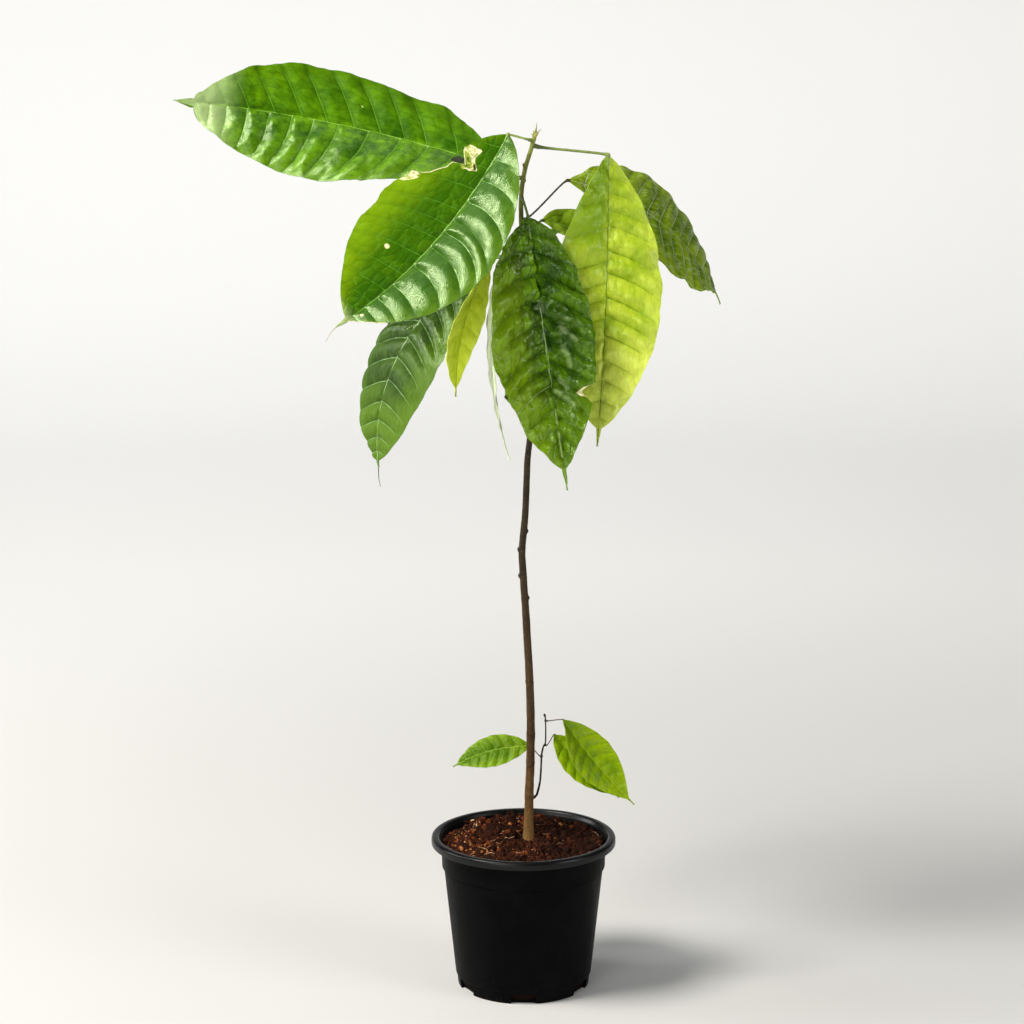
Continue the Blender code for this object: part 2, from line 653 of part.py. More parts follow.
def build_crown(parts):
    stem = smooth_course(STEM_COURSE, STEM_STATIONS)
    for name, leaf in CROWN_LEAVES.items():
        radius = float(stem_radius(leaf["joint"]))
        steps = YOUNG_STEPS if name == "leaf_rear_young" else CROWN_STEPS
        build_leaf(name, leaf, stem, radius, parts, steps)


def build_shoot_leaves(parts):
    shoot = shoot_line()
    for name, leaf in SHOOT_LEAVES.items():
        radius = float(shoot_radius(leaf["joint"]))
        build_leaf(name, leaf, shoot, radius, parts, SHOOT_STEPS)


def main():
    clear_scene()
    parts = new_collection("potted_cacao_seedling")
    cutters = new_collection("cutters")
    build_pot(parts, cutters)
    build_mix(parts)
    build_stem(parts)
    build_bud(parts)
    build_crown(parts)
    build_shoot(parts)
    build_shoot_leaves(parts)


main()
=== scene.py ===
import math
from functools import partial

import bpy
import bmesh
import numpy as np
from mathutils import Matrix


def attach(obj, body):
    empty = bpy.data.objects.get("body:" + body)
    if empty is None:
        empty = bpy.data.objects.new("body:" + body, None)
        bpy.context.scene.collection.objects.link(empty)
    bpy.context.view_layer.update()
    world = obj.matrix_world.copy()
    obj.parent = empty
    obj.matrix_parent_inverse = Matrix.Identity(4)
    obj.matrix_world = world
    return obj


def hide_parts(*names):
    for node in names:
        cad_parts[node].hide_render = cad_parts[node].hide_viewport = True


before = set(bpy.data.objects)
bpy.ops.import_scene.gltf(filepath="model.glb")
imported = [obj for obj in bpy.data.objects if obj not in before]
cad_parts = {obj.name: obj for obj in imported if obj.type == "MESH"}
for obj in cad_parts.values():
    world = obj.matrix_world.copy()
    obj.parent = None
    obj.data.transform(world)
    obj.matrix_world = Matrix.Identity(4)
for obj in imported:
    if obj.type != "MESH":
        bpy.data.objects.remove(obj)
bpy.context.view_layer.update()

# The camera stands where the picture was taken from, ten degrees nose down
cameraSettings = dict(place=(-0.009375, -1.89544524, 0.72601596), pitch=10.0, lens=85.0, sensor=36.0,
                      near=0.05, far=60.0)
lens = bpy.data.cameras.new("photoCamera")
lens.lens, lens.sensor_width = cameraSettings["lens"], cameraSettings["sensor"]
lens.clip_start, lens.clip_end = cameraSettings["near"], cameraSettings["far"]
eye = bpy.data.objects.new("photoCamera", lens)
eye.location = cameraSettings["place"]
eye.rotation_euler = (math.radians(90.0 - cameraSettings["pitch"]), 0.0, 0.0)
bpy.context.collection.objects.link(eye)
bpy.context.scene.camera = eye
bpy.context.scene.view_settings.view_transform = "Standard"

# settings that many nodes share; a Mix node takes {0: amount, 6: colour, 7: the colour over it}
colourMix = dict(data_type="RGBA", out=2)
colourTimes = dict(blend_type="MULTIPLY", **colourMix)
softStep = dict(interpolation_type="SMOOTHSTEP")
times, timesPlus = dict(operation="MULTIPLY"), dict(operation="MULTIPLY_ADD")


def linear(text):
    # each sRGB channel c becomes c / 12.92 below 0.04045 and ((c + 0.055) / 1.055) ^ 2.4 above
    c = np.array([int(text[i:i + 2], 16) for i in (1, 3, 5)]) / 255.0
    return (*[float(x) for x in np.where(c <= 0.04045, c / 12.92, ((c + 0.055) / 1.055) ** 2.4)], 1.0)


def fill(tree, node, inputs):
    # each input takes its link, hex colour or value; None leaves it alone
    for key, value in inputs.items():
        if isinstance(value, bpy.types.NodeSocket):
            tree.links.new(value, node.inputs[key])
        elif value is not None:
            node.inputs[key].default_value = linear(value) if isinstance(value, str) else value


def addNode(tree, kind, *values, out=0, stops=(), **settings):
    # one node with its settings, its inputs in order or as one dictionary, and its colour stops; gives back output out
    node = tree.nodes.new("ShaderNode" + kind)
    for name, value in settings.items():
        setattr(node, name, value)
    fill(tree, node, values[0] if values and isinstance(values[0], dict) else dict(enumerate(values)))
    for k, (place, colour) in enumerate(stops):
        stop = node.color_ramp.elements[k] if k < 2 else node.color_ramp.elements.new(place)
        stop.position, stop.color = place, linear(colour)
    return node.outputs if out is None else node.outputs[out]


def newMaterial(name):
    # a material, the function that adds a node to it, and the one that fills its Principled shader
    material = bpy.data.materials.new(name)
    material.use_nodes = True
    tree = material.node_tree
    return material, partial(addNode, tree), partial(fill, tree, tree.nodes["Principled BSDF"])


def unit(x):
    # x held between 0 and 1
    return np.clip(x, 0.0, 1.0)


def unitRows(rows):
    # each row divided by its length
    return rows / np.linalg.norm(rows, axis=1)[:, None]


def ringAngles(count):
    # angle k = 2 pi k / count
    return np.arange(count) * 2.0 * np.pi / count


def softNoise(places, cell, seed):
    # random values from -1 to 1 on a lattice of the given cell, blended smoothly between the eight corners
    scaled = np.asarray(places, float) / cell
    corner = np.floor(scaled).astype(np.int64)
    part = scaled - corner
    part = part * part * (3.0 - 2.0 * part)
    total = np.zeros(scaled.shape[:-1])
    for k in range(8):
        step = np.array([k & 1, k >> 1 & 1, k >> 2 & 1])
        x, y, z = np.moveaxis(corner + step, -1, 0)
        mixed = (x * 73856093) ^ (y * 19349663) ^ (z * 83492791) ^ (seed * 2654435761)
        for factor, shift in ((1274126177, 13), (2246822519, 15)):
            mixed = ((mixed ^ (mixed >> shift)) * factor) & 0x7FFFFFFF
        total += ((mixed >> 7 & 0xFFFF) / 32767.5 - 1.0) * np.prod(np.where(step, part, 1.0 - part), axis=-1)
    return total


def gridFaces(rows, columns, first=0, around=False, flip=False):
    # four neighbours of a grid make a face; around joins the last column to the first
    i = np.arange(rows - 1)[:, None] * columns
    j = np.arange(columns if around else columns - 1)[None, :]
    k = (j + 1) % columns
    faces = np.stack([i + j, i + k, i + columns + k, i + columns + j], -1).reshape(-1, 4) + first
    return faces[:, ::-1] if flip else faces


def putObject(name, data):
    # an object at the origin that holds the data
    made = bpy.data.objects.new(name, data)
    bpy.context.collection.objects.link(made)
    return made


def putPiece(name, points, faces, material, node, fields=None, chart=None, weld=False, sharp=None):
    # arrays of points and faces become a smooth mesh that rides on the root and takes the CAD node's place
    faces = [np.asarray(f) for f in faces if len(f)]
    mesh = bpy.data.meshes.new(name)
    mesh.vertices.add(len(points))
    mesh.vertices.foreach_set("co", np.asarray(points, np.float32).ravel())
    sides = np.concatenate([np.full(len(f), f.shape[1]) for f in faces])
    corners = np.concatenate([f.ravel() for f in faces])
    mesh.loops.add(len(corners))
    mesh.loops.foreach_set("vertex_index", corners.astype(np.int32))
    mesh.polygons.add(len(sides))
    mesh.polygons.foreach_set("loop_start", (np.cumsum(sides) - sides).astype(np.int32))
    mesh.update(calc_edges=True)
    for key, values in (fields or {}).items():
        layer = mesh.attributes.new(key, "FLOAT_VECTOR", "POINT")
        layer.data.foreach_set("vector", np.asarray(values, np.float32).ravel())
    if chart is not None:
        layer = mesh.uv_layers.new(name="chart")
        layer.data.foreach_set("uv", np.asarray(chart, np.float32)[corners].ravel())
    if weld:
        work = bmesh.new()
        work.from_mesh(mesh)
        bmesh.ops.remove_doubles(work, verts=work.verts, dist=1e-6)
        bmesh.ops.dissolve_degenerate(work, edges=work.edges, dist=1e-7)
        work.to_mesh(mesh)
        work.free()
    mesh.shade_smooth()
    if sharp:
        mesh.set_sharp_from_angle(angle=math.radians(sharp))
    mesh.materials.append(material)
    piece = putObject(name, mesh)
    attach(piece, "root")
    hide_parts(node)
    return piece


def turnedPoints(profile, turns):
    # each profile point (radius, height) runs round the upright axis in even steps
    angle = ringAngles(turns)
    r, z = profile[:, :1], profile[:, 1:]
    return np.stack([r * np.cos(angle), r * np.sin(angle), z + 0.0 * angle], -1)


def roundedLine(corners, steps=6):
    # each corner (radius, height, setback) becomes a parabola that starts and ends one setback away from it
    p = np.array([c[:2] for c in corners])
    line = [p[:1]]
    s = np.linspace(0.0, 1.0, steps)[:, None]
    for k in range(1, len(p) - 1):
        legs = p[k - 1] - p[k], p[k + 1] - p[k]
        a, b = [p[k] + leg * min(corners[k][2] / np.linalg.norm(leg), 0.48) for leg in legs]
        line.append((1 - s) ** 2 * a + 2 * s * (1 - s) * p[k] + s ** 2 * b)
    return np.vstack(line + [p[-1:]])


def carriedPoints(path, radii, around):
    # a round section is carried along the path, square to it; radii may change along the path and round it
    way = unitRows(np.gradient(path, axis=0))
    first = unitRows(np.cross(way, np.linalg.svd(path - path.mean(0))[2][2]))
    second = np.cross(way, first)
    angle = ringAngles(around)
    out = first[:, None] * np.cos(angle)[None, :, None] + second[:, None] * np.sin(angle)[None, :, None]
    return path[:, None] + out * np.broadcast_to(radii, (len(path), around))[..., None]


def cappedPoints(grid, line):
    # the tube's points, then the middle of each end
    return np.vstack([grid.reshape(-1, 3), line[:1], line[-1:]])


def carriedFaces(rows, around):
    # the tube's own faces and a fan at each end, whose middles are the last two points
    j = np.arange(around)
    k = (j + 1) % around
    last = rows * around
    foot = np.stack([k, j, np.full(around, last)], -1)
    head = np.stack([j, k, np.full(around, last + 1)], -1) + np.array([last - around, last - around, 0])
    return [gridFaces(rows, around, around=True), foot, head]


def smoothCourse(course, stations):
    # even steps on the Catmull-Rom curve through (height, x, y)
    knots = np.array([(x, y, z) for z, x, y in course])
    ends = np.vstack([2 * knots[0] - knots[1], knots, 2 * knots[-1] - knots[-2]])
    where = np.linspace(0.0, len(knots) - 1.0, stations)
    index = np.minimum(where.astype(int), len(knots) - 2)
    u = (where - index)[:, None]
    a, b, c, d = [ends[index + k] for k in range(4)]
    return 0.5 * (2 * b + (c - a) * u + (2 * a - 5 * b + 4 * c - d) * u ** 2 + (3 * b - a - 3 * c + d) * u ** 3)


# Floor and light: a wide pale bowl whose edge curls up into the backdrop, and soft daylight from the upper left
stageSettings = dict(
    flat=3.0, curl=1.6, wall=5.0, lean=0.4, turns=96, floor="#d3d3d1", back="#f4f4f2", dim="#5c5d5f", blend=(0.3, 1.9),
    highBlend=(1.1, 1.9), dimBlend=(1.7, 3.0), nearBlend=(-1.3, -2.6), air="#eef2f6", airPower=0.12)
# each lamp: where it stands, where it aims, disk size, watts, spread in degrees
lightSettings = {
    "key": ((-1.62, -0.72, 2.42), (0.0, 0.0, 0.45), 1.15, 93.0, 180),
    "side": ((-2.3, 0.4, 1.05), (0.0, 0.0, 0.5), 1.0, 6.0, 90),
    "front": ((-1.3, -2.6, 0.95), (0.0, 0.0, 0.5), 1.6, 9.0, 90),
    "top": ((-0.2, 0.75, 3.0), (0.0, 0.0, 0.4), 2.4, 8.0, 180),
    "right": ((2.3, -1.3, 1.1), (0.1, 0.0, 0.5), 1.4, 10.0, 100),
    "backLeft": ((-2.3, 1.2, 3.6), (-0.9, 4.2, 0.4), 2.0, 34.0, 100),
    "backRight": ((2.3, 1.2, 3.6), (0.9, 4.2, 0.4), 2.0, 21.0, 100),
}
lampTints = {"key": "#fffaf2"}


def makeStage():
    # the bowl is a turned line; its paint brightens away from the plant and darkens where the camera never looks
    s = stageSettings
    edge = s["flat"] + s["curl"]
    profile = roundedLine([(0.0, 0.0, 0.0), (edge, 0.0, s["curl"]), (edge + s["lean"], s["wall"], 0.0)], 24)
    material, add, finish = newMaterial("mattPaintedSweep")  # flat studio paint, without gloss
    place = add("TexCoord", out=3)
    away = add("VectorMath", place, operation="LENGTH", out=1)
    part = add("SeparateXYZ", place, out=None)
    beside = add("Math", part[0], operation="ABSOLUTE")
    far, near, beside, high = [add("MapRange", value, *s[key], **softStep) for value, key in
                               ((away, "blend"), (part[1], "nearBlend"), (beside, "dimBlend"), (part[2], "highBlend"))]
    for more in (beside, high):
        near = add("Math", near, more, operation="MAXIMUM")
    paint = add("ValToRGB", far, stops=[(0.0, s["floor"]), (1.0, s["back"])])
    paint = add("Mix", {0: near, 6: paint, 7: s["dim"]}, **colourMix)
    finish({"Base Color": paint, "Roughness": 0.9})
    mesh = bpy.data.meshes.new("studioSweep")
    points = turnedPoints(profile, s["turns"]).reshape(-1, 3)
    mesh.from_pydata(points.tolist(), [], gridFaces(len(profile), s["turns"], around=True).tolist())
    mesh.shade_smooth()
    mesh.materials.append(material)
    sweep = putObject("studioSweep", mesh)
    for name, (place, target, size, power, spread) in lightSettings.items():
        lamp = bpy.data.lights.new(name + "Light", "AREA")
        lamp.shape, lamp.size, lamp.energy, lamp.spread = "DISK", size, power, math.radians(spread)
        lamp.color = linear(lampTints.get(name, "#ffffff"))[:3]
        holder = putObject(name + "Light", lamp)
        holder.location = place
        aim = np.array(target) - np.array(place)
        holder.rotation_euler = (math.acos(-aim[2] / np.linalg.norm(aim)), 0.0, math.atan2(-aim[0], aim[1]))
        holder.visible_camera = False
    world = bpy.data.worlds.new("paleRoom")
    bpy.context.scene.world = world
    world.use_nodes = True
    fill(world.node_tree, world.node_tree.nodes["Background"], {0: s["air"], 1: s["airPower"]})


makeStage()
print("stage and light stand")

potSizes = dict(
    height=0.125, rim=0.075, lip=0.006, skirt=0.0065, neck=0.0669, shoulder=0.099, step=0.0016, top=0.0648, base=0.0544,
    foot=0.010, footStep=0.0009, wall=0.0016, floor=0.0022, slots=6, slotWide=0.020, slotHigh=0.0085, slotDeep=0.010,
    slotRound=0.0015, turns=288, dust="#6a6058")
# each finish: name, roughness, specular level, strength of its relief, share of dust, darkest and lightest colour
potFinishes = {
    "body": ("mouldedBlackPolypropylene", 0.38, 0.035, 0.12, 0.5, "#030304", "#08090a"),  # satin from the mould
    "lip": ("burnishedPotLip", 0.27, 0.24, 0.006, 0.08, "#040405", "#090a0b"),  # rubbed smooth by handling
}


def outerRadius(height):
    # the body tapers evenly from its top at the shoulder down to the base
    p = potSizes
    return p["base"] + (p["top"] - p["base"]) * height / p["shoulder"]


def innerRadius(height):
    # one wall inside the body, then opening evenly from the shoulder to the neck
    p = potSizes
    if height <= p["shoulder"]:
        return outerRadius(height) - p["wall"] - p["footStep"] * 0.5
    low = innerRadius(p["shoulder"])
    share = (height - p["shoulder"]) / (p["height"] - p["skirt"] - p["shoulder"])
    return low + (p["neck"] - p["wall"] - low) * min(share, 1.0)


def potMaterial(name, roughness, shine, relief, grime, dark, light):
    # injection-moulded black polypropylene: satin, slightly grey where it is scuffed, dusted with dry potting mix
    material, add, finish = newMaterial(name)
    place = add("TexCoord", out=3)
    height = add("SeparateXYZ", place, out=2)
    cloudy = add("TexNoise", place, None, 38.0, 5.0, 0.6)
    upright = add("Mapping", {"Vector": place, "Scale": (1.0, 1.0, 0.12)})
    runs = add("TexNoise", upright, None, 210.0, 4.0, 0.65)
    specks = add("TexNoise", place, None, 900.0, 2.0, 0.7)
    skin = add("TexNoise", place, None, 1500.0, 1.0)
    plastic = add("ValToRGB", cloudy, stops=[(0.3, dark), (0.75, light)])
    low, rim, grit, film = [add("MapRange", *v) for v in
                            ((height, 0.03, 0.0), (height, 0.116, 0.125), (specks, 0.63, 0.76), (runs, 0.45, 0.75))]
    dusty = add("Math", grit, add("Math", low, rim, operation="MAXIMUM"), **times)
    cover = add("Math", dusty, grime, add("Math", film, 0.005, **times), use_clamp=True, **timesPlus)
    gloss = add("MapRange", cloudy, 0.3, 0.75, roughness, roughness + 0.12)
    skin = add("Math", runs, 0.6, skin, **timesPlus)
    plastic = add("Mix", {0: cover, 6: plastic, 7: potSizes["dust"]}, **colourMix)
    finish({"Base Color": plastic, "IOR": 1.49, "Specular IOR Level": shine,
            "Roughness": add("Math", film, 0.24 * grime, gloss, **timesPlus),
            "Normal": add("Bump", {"Strength": relief, "Distance": 0.0004, "Height": skin})})
    return material


def makePot():
    # a turned profile of the wall, with drain slots cut out of the foot by rounded blocks
    p = potSizes
    skirt, lipIn, out = p["height"] - p["skirt"], p["rim"] - p["lip"], outerRadius(p["foot"])
    profile = roundedLine([
        (0.0, p["floor"], 0.0), (innerRadius(p["floor"]) - 0.0012, p["floor"], 0.001),
        (innerRadius(0.004), 0.004, 0.001), (innerRadius(p["shoulder"]), p["shoulder"], 0.004),
        (p["neck"] - p["wall"], skirt, 0.002),
        (lipIn - 0.0012, p["height"] - 0.0028, 0.0008), (lipIn + 0.0002, p["height"], 0.0012),
        (p["rim"], p["height"], 0.0026), (p["rim"], skirt, 0.0007), (p["neck"] + 0.0006, skirt, 0.0009),
        (p["neck"], skirt - 0.004, 0.001), (p["top"] + p["step"], p["shoulder"] + 0.0006, 0.0004),
        (p["top"] - 0.0005, p["shoulder"] - 0.0002, 0.0003), (p["top"] - 0.0001, p["shoulder"] - 0.0020, 0.0005),
        (out, p["foot"], 0.00025), (out - p["footStep"], p["foot"] - 0.0005, 0.0003),
        (p["base"] - p["footStep"], 0.0, 0.0009), (0.0, 0.0, 0.0)])
    pot = putPiece("pot_body", turnedPoints(profile, p["turns"]).reshape(-1, 3),
                   [gridFaces(len(profile), p["turns"], around=True)], potMaterial(*potFinishes["body"]),
                   "pot", weld=True)
    cutters = []
    for k in range(p["slots"]):
        turn = 2.0 * math.pi * (k + 0.5) / p["slots"]
        work = bmesh.new()
        bmesh.ops.create_cube(work, size=1.0)
        for v in work.verts:
            x, y = v.co.x * p["slotDeep"] + p["base"], v.co.y * p["slotWide"]
            v.co = (x * math.cos(turn) - y * math.sin(turn), x * math.sin(turn) + y * math.cos(turn),
                    v.co.z * p["slotHigh"] * 2.0)
        bmesh.ops.bevel(work, geom=[e for e in work.edges if abs(e.verts[0].co.z - e.verts[1].co.z) < 1e-6
                                    and e.verts[0].co.z > 0 and e.calc_length() < 0.012],
                        offset=p["slotRound"], segments=4, affect="EDGES", profile=0.5)
        mesh = bpy.data.meshes.new("slotCutter")
        work.to_mesh(mesh)
        work.free()
        cutter = putObject("slotCutter", mesh)
        cut = pot.modifiers.new("slot", "BOOLEAN")
        cut.operation, cut.solver, cut.object = "DIFFERENCE", "EXACT", cutter
        cutters.append(cutter)
    mesh = bpy.data.meshes.new_from_object(pot.evaluated_get(bpy.context.evaluated_depsgraph_get()))
    pot.modifiers.clear()
    pot.data = mesh
    for cutter in cutters:
        bpy.data.objects.remove(cutter, do_unlink=True)
    mesh.shade_smooth()
    mesh.set_sharp_from_angle(angle=math.radians(38.0))
    mesh.materials.append(potMaterial(*potFinishes["lip"]))
    middles = np.empty(len(mesh.polygons) * 3, np.float32)
    mesh.polygons.foreach_get("center", middles)
    x, y, z = middles.reshape(-1, 3).T
    lip = (z > skirt + 0.0003) & (np.hypot(x, y) > lipIn - 0.0015)
    mesh.polygons.foreach_set("material_index", lip.astype(np.int32))


makePot()
print("pot stands")

# clods, lumps and grains: cell and height of three layers of noise
mixSizes = dict(level=0.1190, edge=0.1184, rear=0.0030, rings=110, turns=260, clods=(0.0125, 0.0026),
                lumps=(0.0052, 0.0016), grains=(0.0021, 0.0006), gloss=0.92, tone="#301810", seed=11)
# each kind of crumb: how many, least and largest half size, gathered left (1) or right (-1), colour, seed
# the crumbs' colours are the mix's own, but where they gather is painted light and shade: rust and pale crumbs crowd
# the lit left, black ones the shaded right
crumbSizes = {
    "mix_crumbs_black": (1300, 0.0008, 0.0036, -0.5, "#26120a", 20),
    "mix_crumbs_dark": (1500, 0.0007, 0.0030, 0.0, "#3c1d10", 21),
    "mix_crumbs_red": (900, 0.0005, 0.0024, 0.1, "#643218", 22),
    "mix_crumbs_rust": (170, 0.0005, 0.0024, 0.9, "#a4683c", 23),
    "mix_crumbs_pale": (70, 0.0004, 0.0015, 0.8, "#dcb48c", 24),
}
fibreSizes = dict(count=64, length=(0.006, 0.021), thick=(0.00018, 0.00044), curl=2.0, gloss=0.85, tone="#d2a67c",
                  rows=7, around=3, seed=31)


def mixHeight(x, y):
    # a low dome that sinks to the edge, with clods, lumps and grains of smooth noise on it
    m = mixSizes
    place = np.stack([x, y, np.zeros_like(x)], -1)
    wide = innerRadius(m["edge"])
    height = m["level"] + (m["edge"] - m["level"]) * unit(np.hypot(x, y) / wide) ** 2 + m["rear"] * unit(y / wide) ** 2
    for k, (cell, rise) in enumerate([m["clods"], m["lumps"], m["grains"]]):
        height = height + rise * softNoise(place, cell, m["seed"] + k)
    return height


def mixMaterial(name, tone, gloss):
    # moist peat and bark mix: dull, dark where it is wet, each crumb with its own grain; painted shade darkens it low
    # in the pot
    material, add, finish = newMaterial(name)
    place = add("TexCoord", out=3)
    grain = add("TexNoise", place, None, 700.0, 3.0, 0.7)
    wet = add("MapRange", add("TexNoise", place, None, 60.0, 3.0), 0.35, 0.65, 0.62, 1.15)
    fleck = add("MapRange", grain, 0.3, 0.7, 0.55, 1.45)
    # painted shade: deep darkens the mix from 0.11 m down to 0.05 m, inside the pot where its wall shades it
    deep = add("MapRange", add("SeparateXYZ", place, out=2), 0.05, 0.11, 0.2, 1.0)
    shade = add("Math", add("Math", wet, fleck, **times), deep, **times)
    colour = add("Mix", {0: 1.0, 6: tone, 7: add("CombineXYZ", shade, shade, shade)}, **colourTimes)
    finish({"Base Color": colour, "Roughness": gloss, "Specular IOR Level": 0.08,
            "Normal": add("Bump", {"Strength": 0.6, "Distance": 0.0006, "Height": grain})})
    return material


def makeMix():
    # rings of the lumpy top, closed by a turned wall and floor inside the pot
    m = mixSizes
    ring = np.linspace(0.0, 1.0, m["rings"])[:, None] ** 0.8 * (innerRadius(m["edge"]) - 0.0001)
    angle = ringAngles(m["turns"])[None, :]
    x, y = ring * np.cos(angle), ring * np.sin(angle)
    below = np.array([(innerRadius(0.099) - 0.0003, 0.099), (innerRadius(0.004) - 0.0003, 0.0045),
                      (innerRadius(0.0022) - 0.0025, 0.0026), (0.0, 0.0026)])
    points = np.vstack([np.stack([x, y, mixHeight(x, y)], -1), turnedPoints(below, m["turns"])])
    putPiece("mix_bed", points.reshape(-1, 3), [gridFaces(len(points), m["turns"], around=True, flip=True)],
             mixMaterial("moistPottingMix", m["tone"], m["gloss"]), "potting_mix", weld=True)


def makeCrumbs(name, n, small, large, litSidePull, tone, seed):
    # one twenty-sided lump is copied, each copy stretched, dented, turned and half sunk in the mix
    rng = np.random.default_rng(seed)
    work = bmesh.new()
    bmesh.ops.create_icosphere(work, subdivisions=1, radius=1.0)
    ball = np.array([v.co for v in work.verts])
    tris = np.array([[v.index for v in f.verts] for f in work.faces])
    work.free()
    size = small + (large - small) * rng.random(n) ** 2.2
    lump = ball[None] * (1.0 + 0.28 * rng.standard_normal((n, len(ball), 1)).clip(-1.5, 1.5))
    lump = lump * rng.uniform(0.4, 1.4, (n, 1, 3)) * size[:, None, None]
    w, a, b, d = unitRows(rng.standard_normal((n, 4))).T
    turn = np.stack([1 - 2 * (b * b + d * d), 2 * (a * b - d * w), 2 * (a * d + b * w),
                     2 * (a * b + d * w), 1 - 2 * (a * a + d * d), 2 * (b * d - a * w),
                     2 * (a * d - b * w), 2 * (b * d + a * w), 1 - 2 * (a * a + b * b)], -1).reshape(n, 3, 3)
    lump = np.einsum("nij,nkj->nki", turn, lump)
    # three places are drawn for each crumb, and the one that suits its side and its patch of noise best is taken
    wide = innerRadius(mixSizes["edge"]) - 0.0015
    spread = np.sqrt(rng.random((n, 3))) * wide
    angle = rng.random((n, 3)) * 2.0 * np.pi
    x, y = spread * np.cos(angle), spread * np.sin(angle)
    # painted light and shade: a crumb whose pull is above 0 is drawn to the lit left, and one below 0 to the shaded
    # right
    suits = softNoise(np.stack([x, y, 0.0 * x], -1), 0.017, seed) - 1.4 * litSidePull * x / wide
    best = suits.argmax(1)[:, None]
    x, y = [np.take_along_axis(v, best, 1)[:, 0] for v in (x, y)]
    lump += np.stack([x, y, mixHeight(x, y) + size * 0.25], -1)[:, None]
    faces = tris[None] + (np.arange(n) * len(ball))[:, None, None]
    putPiece(name, lump.reshape(-1, 3), [faces.reshape(-1, 3)], mixMaterial(name + "_finish", tone, mixSizes["gloss"]),
             "potting_mix")


def makeFibres():
    # each fibre is a thin three-sided tube along a short arc that lies on the mix
    f = fibreSizes
    rng = np.random.default_rng(f["seed"])
    n, rows, around = f["count"], f["rows"], f["around"]
    wide = innerRadius(mixSizes["edge"])
    spread = np.sqrt(rng.random(n)) * (wide - 0.008)
    angle = rng.random(n) * 2.0 * np.pi
    heading, curl = rng.random(n) * 2.0 * np.pi, rng.normal(0.0, f["curl"], n)
    step = rng.uniform(*f["length"], n)[:, None] / (rows - 1)
    s = np.linspace(-0.5, 0.5, rows)
    turn = heading[:, None] + curl[:, None] * s
    x = (spread * np.cos(angle))[:, None] + np.cumsum(np.cos(turn) * step, 1)
    y = (spread * np.sin(angle))[:, None] + np.cumsum(np.sin(turn) * step, 1)
    inside = np.minimum(1.0, (wide - 0.001) / np.hypot(x, y))
    x, y = x * inside, y * inside
    z = mixHeight(x, y) + 0.0006 + rng.random(n)[:, None] * 0.0012 * (1.0 - (2 * s) ** 2)
    thick = rng.uniform(*f["thick"], n)[:, None] * (1.0 - 0.6 * np.abs(2 * s))
    side = np.stack([-np.sin(turn), np.cos(turn), np.zeros_like(turn)], -1)
    lean = ringAngles(around)
    rim = side[:, :, None] * np.cos(lean)[:, None] + np.array([0.0, 0.0, 1.0]) * np.sin(lean)[:, None]
    points = np.stack([x, y, z], -1)[:, :, None] + rim * thick[:, :, None, None]
    own = gridFaces(rows, around, around=True)
    last = (rows - 1) * around
    ends = np.array([[2, 1, 0], [last, last + 1, last + 2]])
    shift = (np.arange(n) * rows * around)[:, None, None]
    faces = [(own[None] + shift).reshape(-1, 4), (ends[None] + shift).reshape(-1, 3)]
    putPiece("mix_fibres", points.reshape(-1, 3), faces, mixMaterial("dryCoirFibre", f["tone"], f["gloss"]),
             "potting_mix")


makeMix()
for crumbName, crumbs in crumbSizes.items():
    makeCrumbs(crumbName, *crumbs)
makeFibres()
print("potting mix lies in the pot")

# knobs of old leaf stalks: height, heading in degrees, how far they stand out, half height
stemSizes = dict(
    course=[(0.1183, 0.0040, 0.0), (0.155, 0.0045, 0.0), (0.204, 0.0058, -0.001), (0.250, 0.0050, -0.002),
            (0.304, 0.0020, -0.001), (0.345, -0.0007, 0.001), (0.361, -0.0013, 0.002), (0.390, 0.0012, 0.003),
            (0.434, 0.0030, 0.002), (0.460, 0.0052, 0.0), (0.520, 0.0040, -0.002), (0.580, 0.0002, 0.0),
            (0.632, -0.0024, 0.002), (0.658, -0.0001, 0.002), (0.678, 0.0056, 0.001), (0.6865, 0.0080, 0.0)],
    foot=0.0038, tip=0.0017, flare=0.0013, flareHigh=0.010, taper=0.85,
    scars=[0.1565, 0.185, 0.209, 0.254, 0.322, 0.340, 0.361, 0.376], scarSwell=0.0002, scarReach=0.0018,
    knobs=[(0.376, 5, 0.0011, 0.0016), (0.361, 185, 0.0011, 0.0018), (0.340, 178, 0.0013, 0.0016),
           (0.322, 8, 0.0011, 0.0016), (0.254, 150, 0.0005, 0.0013), (0.209, 60, 0.0006, 0.0012),
           (0.185, -60, 0.0006, 0.0012), (0.1565, 30, 0.0009, 0.0018), (0.665, 190, 0.0013, 0.0013),
           (0.6535, 20, 0.0008, 0.0012), (0.42, -80, 0.0005, 0.0012), (0.47, 100, 0.0005, 0.0012)],
    rings=[0.1565, 0.1835, 0.209, 0.254, 0.3225, 0.3405, 0.3612, 0.376, 0.44, 0.515], ringDeep=0.00028,
    ringReach=0.0006, rows=760, around=40, seed=41, lift="#8d7a58",
    tones=[(0.0, "#75592e"), (0.06, "#5c4220"), (0.16, "#402d17"), (0.45, "#2e2415"), (0.75, "#2c2614"),
           (0.87, "#484a1c"), (0.94, "#6c7232"), (1.0, "#8a9246")])
shootSizes = dict(
    leaves=0.1555,
    course=[(0.1575, 0.0108, 0.0042), (0.1620, 0.0122, 0.0052), (0.1690, 0.0136, 0.0062), (0.1790, 0.0143, 0.0072),
            (0.1890, 0.0147, 0.0080), (0.1965, 0.0160, 0.0070), (0.2010, 0.0178, 0.0060), (0.2190, 0.0178, 0.0040),
            (0.2255, 0.0168, 0.0030)],
    root=0.0012, tip=0.0005, rows=150, around=16, nodes=[0.1885, 0.1985, 0.2195, 0.224], swell=0.00045, seed=47,
    lift="#6f5d42", tones=[(0.0, "#241a10"), (0.08, "#1e160e"), (0.15, "#241c10"), (0.2, "#2c2614")])
